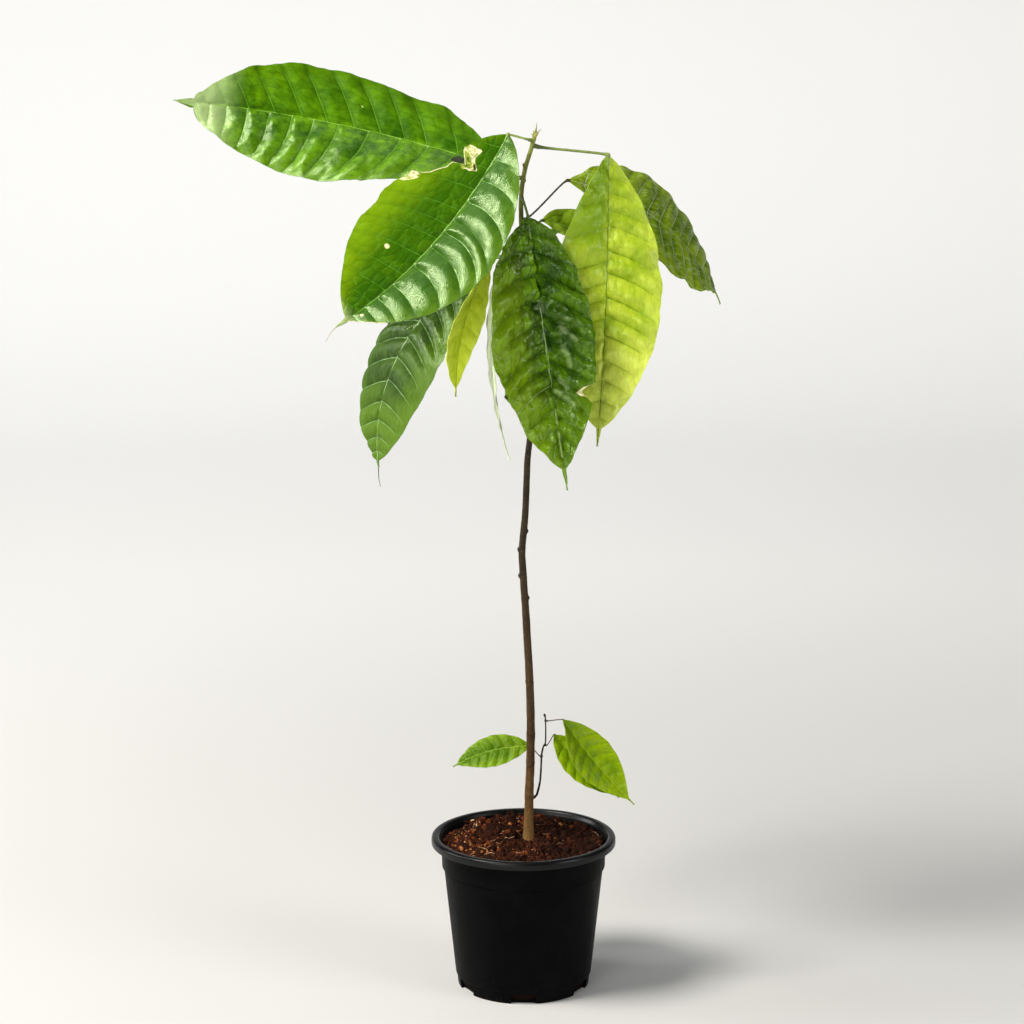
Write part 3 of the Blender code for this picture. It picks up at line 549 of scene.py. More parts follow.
# each scale: length, lean and heading in degrees, bend
budSizes = dict(
    spikes=[(0.0118, 14.0, 20.0, 0.3), (0.0088, 32.0, -10.0, -0.5), (0.0058, 12.0, 170.0, 0.4),
            (0.0042, 40.0, 200.0, 0.3), (0.0036, 46.0, 80.0, 0.3)],
    thick=0.0011, rows=26, around=12, lift="#a39a62",
    tones=[(0.0, "#66702c"), (0.96, "#7a8438"), (0.985, "#8c9444"), (1.0, "#94904e")])
stemLine = smoothCourse(stemSizes["course"], stemSizes["rows"])


def stemRadius(height):
    # a tapering radius with a flare at the foot and a swelling at each scar
    s = stemSizes
    low, high = s["course"][0][0], s["course"][-1][0]
    radius = s["foot"] + (s["tip"] - s["foot"]) * unit((height - low) / (high - low)) ** s["taper"]
    radius = radius + s["flare"] * np.exp(-(height - low) / s["flareHigh"])
    for scar in s["scars"]:
        radius = radius + s["scarSwell"] * np.exp(-((height - scar) / s["scarReach"]) ** 2)
    return radius


def lineAt(line, height):
    # the point of a rising line at a height, and its heading there
    near = [np.array([np.interp(height + d, line[:, 2], line[:, k]) for k in range(3)]) for d in (-0.002, 0.0, 0.002)]
    way = near[2] - near[0]
    return near[1], way / np.linalg.norm(way)


def outward(joint, way, x, y):
    # the direction square to way that leads from the joint towards (x, y)
    level = np.array([x - joint[0], y - joint[1], 0.0])
    level /= np.linalg.norm(level)
    out = level - way * level.dot(way)
    return out / np.linalg.norm(out)


def barkMaterial(name, sizes):
    # young cacao bark: smooth and matt, finely streaked along the stem, pale pores, darker scars
    material, add, finish = newMaterial(name)
    place = add("TexCoord", out=3)
    height = add("SeparateXYZ", place, out=2)
    mottle = add("TexNoise", place, None, 70.0, 4.0, 0.6)
    drawn = add("Mapping", {"Vector": place, "Scale": (1.0, 1.0, 0.13)})
    streak = add("TexNoise", drawn, None, 1400.0, 3.0, 0.6)
    pore = add("TexVoronoi", place, None, 420.0, feature="F1")
    shifted = add("Math", mottle, 0.05, height, **timesPlus)
    base = add("ValToRGB", add("MapRange", shifted, 0.118 + 0.025, 0.69 + 0.025), stops=sizes["tones"])
    streaked = add("MapRange", streak, 0.3, 0.7, 0.6, 1.45)
    shade = add("Math", streaked, add("MapRange", mottle, 0.3, 0.7, 0.62, 1.4), **times)
    scar = add("SeparateXYZ", add("Attribute", attribute_name="bark", out=1), out=1)
    shade = add("Math", scar, -0.55, shade, **timesPlus)
    colour = add("Mix", {0: 1.0, 6: base, 7: add("CombineXYZ", shade, shade, shade)}, **colourTimes)
    dots = add("MapRange", pore, 0.16, 0.10, 0.0, 0.55)
    colour = add("Mix", {0: dots, 6: colour, 7: sizes["lift"]}, **colourMix)
    finish({"Base Color": colour, "Roughness": 0.6, "Specular IOR Level": 0.18,
            "Normal": add("Bump", {"Strength": 0.5, "Distance": 0.0003, "Height": streak})})
    return material


def makeStem():
    # radius = taper * (1 + noise) + knobs - rings, square to the stem's course
    s = stemSizes
    height = stemLine[:, 2]
    angle = ringAngles(s["around"])
    ring = np.stack([np.cos(angle), np.sin(angle)], -1)
    radius = np.repeat(stemRadius(height)[:, None], s["around"], 1)
    place = np.broadcast_arrays(ring[None, :, 0] * 0.004, ring[None, :, 1] * 0.004, height[:, None] * 0.16)
    place = np.stack(place, -1)
    lumps = 0.05 * softNoise(place, 0.0016, s["seed"])
    radius = radius * (1.0 + lumps + 0.035 * softNoise(place, 0.0006, s["seed"] + 1))
    scarred = np.zeros_like(radius)
    for at, heading, out, reach in s["knobs"]:
        away = (angle - math.radians(heading) + np.pi) % (2 * np.pi) - np.pi
        spot = np.exp(-((height[:, None] - at) / reach) ** 2) * np.exp(-(away[None] / 0.75) ** 2)
        radius = radius + out * spot
        scarred = np.maximum(scarred, 0.8 * spot * np.exp(-((height[:, None] - at - reach * 0.5) / reach) ** 2))
    for at in s["rings"]:
        wander = 0.0006 * np.sin(angle * 2.0 + at * 900.0)
        line = np.exp(-((height[:, None] - at - wander[None]) / s["ringReach"]) ** 2)
        radius = radius - s["ringDeep"] * line
        scarred = np.maximum(scarred, line * 0.8)
    way = unitRows(np.gradient(stemLine, axis=0))
    first = unitRows(np.array([1.0, 0.0, 0.0]) - way * way[:, :1])
    second = np.cross(way, first)
    out = first[:, None] * ring[None, :, :1] + second[:, None] * ring[None, :, 1:]
    grid = stemLine[:, None] + out * radius[..., None]
    points = cappedPoints(grid, np.vstack([stemLine[:1], stemLine[-1:] + way[-1:] * 0.0006]))
    field = np.zeros((len(points), 3))
    field[:-2, 1] = scarred.ravel()
    putPiece("stem_bark", points, carriedFaces(s["rows"], s["around"]), barkMaterial("youngCacaoBark", s),
             "stem", fields={"bark": field})


def shootLine(rows):
    # the shoot leaves the stem square to its bark, then runs through its course
    s = shootSizes
    joint, way = lineAt(stemLine, s["leaves"])
    out = outward(joint, way, *s["course"][0][1:])
    root = joint + out * (float(stemRadius(s["leaves"])) + 0.0003)
    course = [(p[2], p[0], p[1]) for p in (root, root + out * s["root"])] + s["course"]
    return smoothCourse(course, rows), joint


def makeShoot():
    # a tapering tube that swells at its nodes, lumpy by noise
    s = shootSizes
    line, joint = shootLine(s["rows"])
    radii = s["root"] + (s["tip"] - s["root"]) * np.linspace(0.0, 1.0, s["rows"]) ** 0.7
    for at in s["nodes"]:
        radii = radii + s["swell"] * np.exp(-((line[:, 2] - at) / 0.0009) ** 2)
    line = np.vstack([joint[None] + (line[:1] - joint[None]) * 0.5, line])
    grid = carriedPoints(line, np.concatenate([[s["root"] * 1.3], radii])[:, None], s["around"])
    lumps = 0.16 * softNoise(grid * np.array([1.0, 1.0, 0.3]), 0.0009, s["seed"])
    points = cappedPoints(grid + (grid - line[:, None]) * lumps[..., None], line)
    putPiece("shoot_bark", points, carriedFaces(len(line), s["around"]), barkMaterial("shootBark", s),
             "side_shoot", fields={"bark": np.zeros((len(points), 3))})


def makeBud():
    # pointed scales: round sections that swell, flatten and close to a point along a short bent line
    b = budSizes
    foot = stemLine[-1] - (stemLine[-1] - stemLine[-6]) * 0.2
    parts, faces = [], [[], [], []]
    s = np.linspace(0.0, 1.0, b["rows"])
    for spike, (length, lean, heading, bend) in enumerate(b["spikes"]):
        lean, heading = math.radians(lean), math.radians(heading)
        level = np.array([math.cos(heading), math.sin(heading), 0.0])
        rise = math.cos(lean) * s + 0.10 * bend * s ** 2
        along = math.sin(lean) * s - 0.18 * bend * s ** 2
        line = foot + length * (level * along[:, None] + np.array([0, 0, 1.0]) * rise[:, None])
        radii = b["thick"] * (1.0 - s) ** 0.75 * (0.75 + 0.6 * np.sin(np.pi * unit(s * 1.6))) + 0.00004
        parts.append(cappedPoints(carriedPoints(line, radii[:, None], b["around"]), line))
        for k, group in enumerate(carriedFaces(b["rows"], b["around"])):
            faces[k].append(group + spike * len(parts[0]))
    points = np.vstack(parts)
    putPiece("bud_scales", points, [np.vstack(f) for f in faces], barkMaterial("greenBudScale", b),
             "bud", fields={"bark": np.zeros((len(points), 3))})


makeStem()
makeShoot()
makeBud()
print("stem, side shoot and bud stand")

# valley            painted shade: how far the flesh darkens in the sunken side veins
# What most leaves share; a leaf's own entry below changes it. Angles are in degrees, lengths in metres, and places
# along and across the blade are shares. Across is below 0 on the left half; pairs are (left, right) or (base, tip).
#   joint, base       height where the stalk leaves its limb, and the place where the blade begins
#   azimuth to bend   heading, slope and roll of the middle rib, and how late its slope changes
#   fold, camber      how the two halves fold up from the rib and curve down again
#   peak, fullness    where the blade is widest, and how full it is; tip is the length of the drip tip
#   trim, ragged      place along and share of the width that is there; how far the edge strays at random
#   veins, sweep      where the side veins leave the rib; how far they have run on at the edge: (base, tip, curved part)
#   pillow            how high the blade swells between two side veins; crest, fall, hem and wedge shape the swelling
#   blister, wave     height and cell of uneven lumps; how far the edge swings, and waves how often
#   net, mesh, rungs  depth and cell of the small veins, and how many lie between two side veins
#   creases           raised folds: two ends, half width and height; their tone paints them paler, partly painted highlight
#   dead, patches     dry spots (along, across, radius); dry areas (fill, rim, outline); scorch dries the torn edges
#   burnt             charred outlines; sere, dry and char are the colours of the three kinds of damage
#   gloss, shine      roughness and specular level; wax tints the shine; dullHalf holds both for the right half
#   dull              roughness that is added: from where, to where, how much
#   deep to rib       colours; cloudy, patchy, netDark, netShow, veinShow and valley say how strongly they vary
#   tints, pale       where a colour starts and is full, along and across; a side vein that stands out pale
#   arrive            how far the stalk turns on to the blade's heading; hair: steps of the dry thread at the tip
commonLeaf = dict(
    veins=10, sweep=dict(left=(0.04, 0.07, 0.05), right=(0.04, 0.07, 0.05)), pillow=(0.0014, 0.0014),
    crest=(0.45, 0.45), fall=1.5, hem=0.22, wedge=0.3, dull=(0.0, 1.0, 0.0), dullHalf=None, cloudy=1.0, creases=[],
    arrive=0.3, pale=[], veinWide=(0.008, 0.03), wave=0.001, waves=7.0, blister=(0.0005, 0.016), ragged=0.01, trim={},
    scorch=0.0, dead=[], patches=[], burnt=[], rows=236, columns=79, thick=0.0005, ridge=0.0011, hair=[], seed=1,
    gloss=0.29, shine=0.2, tints=[], veinShow=0.25, netShow=0.08, valley=0.6, mesh=0.0065, net=(0.0003, 0.0003),
    rungs=(2.0, 2.0), netDark=0.28, patchy=0.22, deep="#2f5a03", bright="#5a8c05", edge="#6a9a08", vein="#6f9c30",
    rib="#86ad4c", under="#6f9440", stalkTones=("#4d5a26", "#6e8a3a", "#5b7030"), creaseGlintTone="#a8c080",
    sere="#a3ad48", dry="#e6e0b4", char="#1e190c", wax="#e6ffc8")
# the leaves of the side shoot share these too
sideLeaf = dict(
    bend=1.0, stalk=0.0005, slot="leaf_fresh", wave=0.0004, blister=(0.00015, 0.008), thick=0.0004, ridge=0.0005)
leaves = {
    "leaf_top_left": dict(
        joint=0.655, base=(-0.027, 0.009, 0.666), length=0.26, left=0.057, right=0.05, azimuth=(155, 192),
        rise=(15, 5), roll=(-24, -83), bend=1.4, fold=14, camber=0.2, peak=0.46, fullness=0.56, tip=0.11,
        stalk=0.0012, slot="leaf_fresh", seed=3, trim=dict(left=[(0.18, 0.99), (0.22, 1.03), (0.28, 1.03),
        (0.33, 0.99), (0.38, 0.98), (0.44, 1.02), (0.65, 1.03), (0.76, 1.01), (0.83, 1.04), (0.87, 1.02),
        (0.915, 1.18), (0.93, 1.5), (0.95, 2.2), (0.98, 1.8), (1.0, 1.0)], right=[(0.05, 1.0), (0.1, 1.07),
        (0.14, 1.11), (0.215, 1.14), (0.27, 1.08), (0.315, 0.99), (0.34, 0.92), (0.365, 0.92), (0.4, 0.97),
        (0.56, 0.98), (0.61, 1.02), (0.79, 1.03), (0.815, 0.98), (0.865, 0.9), (0.89, 0.86), (0.915, 0.76),
        # its burnt outline darkens a small spot near the base, behind the torn edge of the leaf in front, to near black
        (0.93, 1.0), (0.95, 1.6), (0.98, 1.5), (1.0, 1.0)]), dead=[(0.44, 0.39, 0.0009)], burnt=[[(0.112, -0.26),
        (0.09, -0.17), (0.066, -0.3), (0.06, -0.62), (0.084, -0.6), (0.108, -0.42)]], veins=dict(left=[0.03, 0.115,
        0.206, 0.296, 0.398, 0.494, 0.572, 0.638, 0.708, 0.776, 0.838, 0.89, 0.935], right=[0.035, 0.106, 0.21, 0.282,
        0.36, 0.442, 0.528, 0.606, 0.69, 0.77, 0.84, 0.9]), sweep=dict(left=(-0.02, 0.0, 0.08),
        right=(0.12, 0.1, 0.01)), pillow=(0.0033, 0.0026), crest=(0.56, 0.5), wedge=0.5, net=(0.00012, 0.0001),
        shine=0.62, gloss=0.27, dullHalf=(0.06, 0.42), blister=(0.0012, 0.013), veinShow=0.45, fall=1.7,
        # the first tint is painted sheen: the pale tip stands in for light reflected off it
        tints=[(0.78, 0.9, -1.4, -1.3, "#a2b87c", 0.8), (0.3, 0.0, 0.0, 0.3, "#2c5a04", 0.4), (0.9, 0.6, 0.0, 0.12,
        "#2c5802", 0.4)], rows=300, columns=95, cloudy=0.7, netDark=0.4, deep="#265002", bright="#669804",
        edge="#5e8803", vein="#78ac30", rib="#7fae3c"),
    "leaf_front_left": dict(
        joint=0.684, base=(-0.0125, -0.009, 0.689), length=0.215, left=0.052, right=0.057, azimuth=(225, 212),
        rise=(-52, -27), roll=(-33, -47), bend=1.2, fold=15, camber=0.11, peak=0.52, fullness=0.62, tip=0.09,
        stalk=0.0011, slot="leaf_fresh", seed=5, netShow=0.16, scorch=1.0, hair=[(-0.004, 0.0, -0.0045),
        (-0.0078, 0.0, -0.011)], hairTones=("#8a9450", "#b0ac80", "#a09a78"), trim=dict(left=[(0.48, 1.0),
        (0.5, 1.04), (0.55, 1.02), (0.84, 1.0), (0.865, 0.93), (0.89, 0.86), (0.915, 0.81), (0.94, 0.6), (0.96, 1.0)],
        right=[(0.1, 0.98), (0.12, 0.94), (0.14, 0.8), (0.165, 0.6), (0.188, 0.46), (0.196, 0.66), (0.203, 0.72),
        (0.228, 0.7), (0.255, 0.76), (0.285, 0.8), (0.309, 0.9), (0.318, 1.0), (0.35, 1.0), (0.39, 1.04),
        (0.45, 1.03), (0.49, 1.0), (0.515, 0.98), (0.565, 0.985), (0.61, 1.02), (0.73, 1.035), (0.81, 1.01),
        (0.87, 1.02), (0.915, 1.06), (0.95, 1.0)]), dead=[(0.642, 0.45, 0.0022), (0.904, -0.29, 0.0014)],
        patches=[(0.62, 1.0, [(0.13, 0.96), (0.106, 0.95), (0.106, 0.77), (0.11, 0.46), (0.124, 0.48), (0.146, 0.57),
        (0.158, 0.56), (0.182, 0.4), (0.198, 0.44), (0.198, 0.6), (0.176, 0.64), (0.15, 0.68), (0.136, 0.8)]),
        (0.45, 0.0, [(0.13, 0.98), (0.12, 0.6), (0.19, 0.44), (0.21, 0.6), (0.2, 0.98)]), (1.0, 0.0, [(0.104, 0.7),
        (0.104, 0.5), (0.12, 0.46), (0.128, 0.58)]), (0.62, 0.9, [(0.312, 1.06), (0.37, 1.06), (0.372, 0.95),
        (0.334, 0.85), (0.318, 0.88)])], veins=dict(left=[0.03, 0.11, 0.205, 0.304, 0.396, 0.45, 0.53, 0.625, 0.734,
        0.81, 0.872, 0.925], right=[0.06, 0.155, 0.25, 0.35, 0.42, 0.49, 0.58, 0.68, 0.77, 0.84, 0.9]),
        sweep=dict(left=(0.0, 0.03, 0.1), right=(0.05, 0.06, 0.05)), pillow=(0.0038, 0.0019), crest=(0.4, 0.5),
        fall=1.8, hem=0.36, wedge=0.5, net=(0.00014, 0.0006), mesh=0.0075, rungs=(1.0, 1.5), shine=1.0, gloss=0.32,
        dullHalf=(0.1, 0.38), patchy=0.36, netDark=0.5, blister=(0.0005, 0.013), cloudy=0.3, burnt=[[(0.158, 0.53),
        (0.182, 0.42), (0.196, 0.52), (0.172, 0.62)]], tints=[(-0.2, -0.1, 0.0, -0.12, "#2a5802", 0.55),
        (-0.2, -0.1, 0.02, 0.12, "#376602", 0.3), (0.1, 0.35, 0.35, 1.0, "#7c9e06", 0.6), (0.9, 0.99, -1.3, -1.2,
        "#c0c890", 0.7)], rows=300, columns=99, deep="#2a5602", bright="#466e03", edge="#7a9e04",
        stalkTones=("#66762c", "#93a850", "#7c9440"), vein="#5f9a24", rib="#8fbf58", veinShow=0.5, arrive=0.1),
    "leaf_lower_left": dict(
        joint=0.607, base=(-0.033, 0.054, 0.5875), length=0.199, left=0.044, right=0.04, azimuth=(172, 198),
        rise=(-36, -97), roll=(-48, -21), bend=1.25, fold=4, camber=0.15, peak=0.52, fullness=0.57, tip=0.06,
        stalk=0.0012, slot="leaf_grey_green", seed=7, hair=[(0.0002, 0.0, -0.008), (0.0015, 0.0, -0.0155)],
        hairTones=("#3c4416", "#302c16", "#2a2416"), trim=dict(left=[(0.3, 1.04), (0.44, 1.08), (0.76, 1.09),
        (0.83, 1.14), (0.94, 1.14), (0.96, 1.0)], right=[(0.3, 0.9), (0.47, 0.85), (0.52, 0.89), (0.56, 0.855),
        (0.6, 0.89), (0.66, 0.86), (0.74, 0.87), (0.79, 0.96), (0.84, 0.98), (0.865, 0.92), (0.89, 0.82), (0.94, 0.7),
        (0.96, 1.0)]), veins=dict(left=[0.1, 0.19, 0.272, 0.355, 0.443, 0.53, 0.63, 0.722, 0.8, 0.87, 0.93],
        right=[0.1, 0.19, 0.275, 0.355, 0.438, 0.53, 0.632, 0.722, 0.8, 0.87, 0.93]),
        sweep=dict(left=(0.03, 0.06, 0.06), right=(0.1, 0.06, 0.04)), pillow=(0.0049, 0.0049), fall=2.2, hem=0.4,
        dull=(0.4, 0.62, 0.5), wave=0.0004, veinWide=(0.014, 0.045), deep="#203804", bright="#3a5706", edge="#3f6006",
        vein="#84a86a", rib="#9cbf80", veinShow=0.8, gloss=0.24, shine=0.5, tints=[(0.62, 0.8, -1.4, -1.3,
        "#4a6a02", 0.9), (0.2, 0.3, -0.5, -0.85, "#4c6c04", 0.6)]),
    "leaf_yellow_left": dict(
        joint=0.594, base=(-0.027, 0.012, 0.591), length=0.116, left=0.016, right=0.022, azimuth=(-21, -45),
        rise=(-119, -89), roll=(1, 21), bend=1.3, fold=19, camber=0.0, peak=0.44, fullness=0.76, tip=0.11,
        stalk=0.0009, slot="leaf_yellow_green", seed=9, trim=dict(left=[(0.2, 1.06), (0.44, 1.09), (0.52, 1.04),
        (0.6, 1.0), (0.67, 0.9), (0.77, 0.89), (0.84, 0.8), (0.88, 0.92), (0.91, 1.0)]), veins=8,
        # its very pale colours are partly painted light: besides its own yellow-green they stand in for light shining
        # through the thin leaf into the shade it hangs in
        pillow=(0.001, 0.001), rows=150, columns=47, deep="#ccdc28", bright="#e2f048", edge="#e8f25c",
        tints=[(0.955, 0.985, -1.3, -1.2, "#2e2414", 1.0)], vein="#cfe058", rib="#a8b830", valley=0.25, netDark=0.1,
        under="#b4c65a", wave=0.0005, blister=(0.0002, 0.012)),
    "leaf_edge_on": dict(
        joint=0.582, base=(-0.019, 0.03, 0.592), length=0.166, left=0.03, right=0.028, azimuth=(186, 178),
        rise=(-80, -108), roll=(-6, -3), bend=1.2, fold=4, camber=0.05, peak=0.48, fullness=0.7, tip=0.26,
        stalk=0.001, slot="leaf_pale", seed=11, veins=9, pillow=(0.0007, 0.0007), rows=170, columns=59,
        # its pale colours are partly its own and partly painted light that lifts the shade it hangs in
        deep="#bccb98", bright="#ccd9ac", edge="#d8e2c0", vein="#e6eed2", rib="#eef4de", under="#c8d4a8", wave=0.0006),
    "leaf_front": dict(
        joint=0.64, base=(0.003, -0.026, 0.626), length=0.212, left=0.04, right=0.045, azimuth=(-48, -64),
        rise=(-79, -71), roll=(9, 30), bend=1.0, fold=17, camber=0.14, peak=0.42, fullness=0.67, tip=0.14,
        stalk=0.0012, slot="leaf_dark", seed=13, netShow=0.14, trim=dict(left=[(0.6, 1.0), (0.628, 1.01), (0.64, 0.8),
        (0.654, 0.67), (0.676, 0.84), (0.7, 1.0), (0.82, 1.0), (0.86, 0.89), (0.9, 0.95)], right=[(0.19, 1.1),
        (0.24, 1.03), (0.3, 0.99), (0.37, 0.98), (0.44, 1.04), (0.54, 1.07), (0.57, 1.03), (0.61, 1.02),
        (0.633, 1.07), (0.64, 1.1), (0.647, 1.06), (0.665, 1.0), (0.69, 0.98), (0.74, 1.0), (0.79, 1.07),
        (0.84, 1.04), (0.89, 0.97)]), veins=dict(left=[0.05, 0.12, 0.2, 0.28, 0.36, 0.44, 0.52, 0.585, 0.65, 0.73,
        0.81, 0.88], right=[0.03, 0.118, 0.208, 0.298, 0.382, 0.484, 0.552, 0.612, 0.7, 0.78, 0.86]),
        sweep=dict(left=(0.06, 0.16, 0.02), right=(0.0, 0.15, 0.05)), pillow=(0.0052, 0.0054),
        blister=(0.0036, 0.012), net=(0.0005, 0.0006), deep="#1b3801", bright="#648e06", edge="#648a06",
        vein="#6f9040", rib="#86a254", gloss=0.22, veinShow=0.3, shine=0.5, patchy=0.5, netDark=0.5, cloudy=0.8,
        pale=[(7.0, 0.02, 0.05, 1.0)], creases=[(0.342, -0.49, 0.346, -0.52, 0.0023, 0.0013),
        (0.38, -0.49, 0.384, -0.53, 0.0025, 0.0014), (0.408, -0.35, 0.43, -0.44, 0.0032, 0.002),
        (0.445, -0.52, 0.462, -0.6, 0.0026, 0.0017), (0.482, -0.33, 0.512, -0.39, 0.0033, 0.0022),
        (0.535, -0.41, 0.554, -0.45, 0.0028, 0.0018), (0.6, -0.2, 0.632, -0.36, 0.0029, 0.0018),
        (0.638, -0.06, 0.652, -0.18, 0.0026, 0.0017), (0.665, -0.27, 0.698, -0.5, 0.0029, 0.002),
        (0.734, -0.47, 0.738, -0.51, 0.0022, 0.0013), (0.8, -0.02, 0.815, -0.05, 0.002, 0.0012)], patches=[(0.9, 0.9,
        [(0.636, -1.02), (0.668, -1.02), (0.664, -0.86), (0.648, -0.82)])], burnt=[[(0.63, 1.04), (0.65, 1.04),
        (0.65, 0.93), (0.63, 0.93)]], tints=[(0.1, 0.3, 0.1, 0.6, "#84a412", 0.5), (-0.2, -0.1, 0.0, -0.15,
        "#2c5402", 0.4), (0.55, 0.75, -1.3, -1.2, "#6a8c08", 0.4)], rows=330, columns=119),
    "leaf_right": dict(
        joint=0.6805, base=(0.0656, 0.008, 0.6726), length=0.227, left=0.045, right=0.043, azimuth=(-86, -123),
        rise=(-82, -81), roll=(-25, -11), bend=1.0, fold=16, camber=0.14, peak=0.48, fullness=0.71, tip=0.11,
        stalk=0.0013, slot="leaf_yellow_green", seed=15, trim=dict(left=[(0.34, 0.99), (0.37, 0.97), (0.42, 1.0),
        (0.52, 0.98), (0.6, 1.01), (0.71, 1.03), (0.79, 1.05), (0.84, 1.11), (0.915, 1.18)], right=[(0.0, 1.03)]),
        veins=dict(left=[0.03, 0.075, 0.126, 0.185, 0.238, 0.324, 0.4, 0.486, 0.55, 0.616, 0.702, 0.77, 0.84, 0.9],
        right=[0.04, 0.095, 0.154, 0.248, 0.366, 0.438, 0.496, 0.56, 0.63, 0.7, 0.77, 0.84, 0.9]),
        sweep=dict(left=(0.05, 0.08, 0.03), right=(0.03, 0.08, 0.01)), pillow=(0.0048, 0.0034), fall=1.8, valley=0.3,
        netDark=0.12, netShow=0.25, shine=0.5, blister=(0.0012, 0.01), mesh=0.0045, rungs=(3.0, 3.0),
        # its bright yellow colours are partly painted light: besides its own colour they stand in for light shining
        # through the thin leaf
        net=(0.00035, 0.0003), arrive=0.1, deep="#8cab0e", bright="#c0d23a", edge="#c4d44c",
        # tint #dce660 is painted light that lifts the shadow leaf_front casts on it; tint #769c04 is painted shade near
        # the base of the right half
        tints=[(0.36, 0.16, -1.3, -1.2, "#9cb628", 0.55), (0.55, 0.75, -1.3, -1.2, "#dce660", 0.6),
        (0.5, 0.2, -0.1, 0.3, "#769c04", 0.8), (0.96, 1.0, -1.3, -1.2, "#8a8a3a", 0.6)], vein="#7f9c1e",
        rib="#54741a", under="#a8c060", veinShow=0.65, stalkTones=("#48561e", "#7e8e48", "#8c9c50")),
    "leaf_rear_right": dict(
        joint=0.6235, base=(0.035, 0.018, 0.653), length=0.193, left=0.046, right=0.044, azimuth=(14, 57),
        rise=(-12, -53), roll=(47, 58), bend=0.9, fold=6, camber=0.15, peak=0.53, fullness=0.67, tip=0.1,
        stalk=0.0009, slot="leaf_dark", seed=17, trim=dict(left=[(0.06, 1.0), (0.09, 1.16), (0.25, 1.07),
        (0.36, 1.04), (0.465, 1.07), (0.515, 0.97), (0.565, 1.01), (0.6, 0.96), (0.66, 1.0), (0.74, 1.04),
        (0.79, 0.88), (0.84, 0.8), (0.89, 0.68), (0.93, 0.6), (0.96, 1.0)], right=[(0.5, 1.01), (0.59, 1.04),
        (0.615, 1.0), (0.665, 1.06), (0.7, 1.04), (0.74, 1.06), (0.79, 0.93), (0.84, 0.79), (0.92, 0.74),
        (0.96, 1.0)]), veins=dict(left=[0.07, 0.15, 0.23, 0.31, 0.385, 0.458, 0.53, 0.592, 0.655, 0.72, 0.79, 0.86],
        right=[0.07, 0.15, 0.23, 0.31, 0.385, 0.455, 0.525, 0.595, 0.654, 0.72, 0.79, 0.86]),
        sweep=dict(left=(0.07, 0.09, 0.03), right=(0.02, 0.03, 0.04)), pillow=(0.0024, 0.0024), deep="#4c6c06",
        bright="#84a016", edge="#8ca61e", vein="#c6d49c", rib="#b8c88c", veinShow=0.75, netShow=0.28, shine=0.1,
        veinWide=(0.014, 0.045), stalkTones=("#3a3524", "#453c28", "#5b4c30")),
    "leaf_rear_small": dict(
        joint=0.613, base=(0.015, 0.03, 0.621), length=0.129, left=0.027, right=0.026, azimuth=(20, 24),
        rise=(-2, -79), roll=(49, 23), bend=0.7, fold=14, camber=0.12, peak=0.44, fullness=0.75, tip=0.1,
        stalk=0.0009, slot="leaf_fresh", seed=19, veins=8, rows=160, columns=53, deep="#6c8c14", bright="#9ab82c",
        edge="#a4c034"),
    "leaf_rear": dict(
        joint=0.5725, base=(0.01, 0.042, 0.584), length=0.165, left=0.032, right=0.03, azimuth=(78, 68),
        rise=(-45, -88), roll=(-6, 8), bend=0.9, fold=12, camber=0.12, peak=0.47, fullness=0.66, tip=0.1,
        stalk=0.0011, slot="leaf_dark", seed=23, veins=9, pillow=(0.0012, 0.0012), rows=190, columns=63,
        deep="#28500c", bright="#457814"),
    "leaf_rear_young": dict(
        joint=0.594, base=(0.006, 0.0095, 0.6045), length=0.025, left=0.0055, right=0.0055, azimuth=(15, 5),
        rise=(32, 12), roll=(55, 40), bend=1.0, fold=16, camber=0.1, peak=0.5, fullness=0.75, tip=0.1, stalk=0.0008,
        slot="leaf_pale", seed=29, veins=6, pillow=(0.0002, 0.0002), wave=0.0002, blister=(0.0001, 0.006), rows=60,
        columns=25, thick=0.0004, ridge=0.0003, deep="#6a9430", bright="#86aa44"),
    "side_leaf_left": dict(
        joint=0.1885, base=(0.0055, 0.012, 0.196), length=0.067, left=0.016, right=0.013, azimuth=(179, 172),
        rise=(1, -34), roll=(-52, -44), fold=12, camber=0.13, peak=0.45, fullness=0.8, tip=0.1, seed=31, veins=8,
        rows=120, columns=45, deep="#466804", bright="#6c8c0a", edge="#7c9c14", vein="#93b054", rib="#84a22a",
        veinShow=0.6, stalkTones=("#241e12", "#2c2818", "#3c4420"), tints=[(0.93, 1.0, -1.3, -1.2, "#5c4a20", 0.8)]),
    "side_leaf_lower": dict(
        joint=0.1985, base=(0.025, 0.007, 0.207), length=0.073, left=0.016, right=0.018, azimuth=(-28, -15),
        rise=(-45, -35), roll=(32, 21), fold=13, camber=0.13, peak=0.47, fullness=0.76, tip=0.1, seed=37, veins=8,
        # its colours are lighter than side_leaf_upper's: painted light that lifts the shadow the upper leaf casts on it
        pillow=(0.0008, 0.0008), rows=120, columns=45, deep="#6e9006", bright="#90ac0a", edge="#94b00e",
        vein="#8cac40", rib="#7c9414", stalkTones=("#2c2618", "#4a4424", "#4c5222")),
    "side_leaf_upper": dict(
        joint=0.2195, base=(0.0322, -0.004, 0.2222), length=0.089, left=0.02, right=0.02, azimuth=(-5, -29),
        rise=(-57, -38), roll=(31, 55), fold=16, camber=0.12, peak=0.42, fullness=0.9, tip=0.13, seed=41, veins=9,
        pillow=(0.001, 0.001), rows=130, columns=49, deep="#5c7a04", bright="#789204", edge="#88a208", vein="#a4bc40",
        rib="#809814", tints=[(0.93, 1.0, -1.3, -1.2, "#5c4a20", 0.8)], stalkTones=("#2c2618", "#4a4424", "#4c5222")),
}


def bySide(u, pair):
    # the left value where u is below 0, else the right one
    return np.where(u > 0.0, pair[1], pair[0])


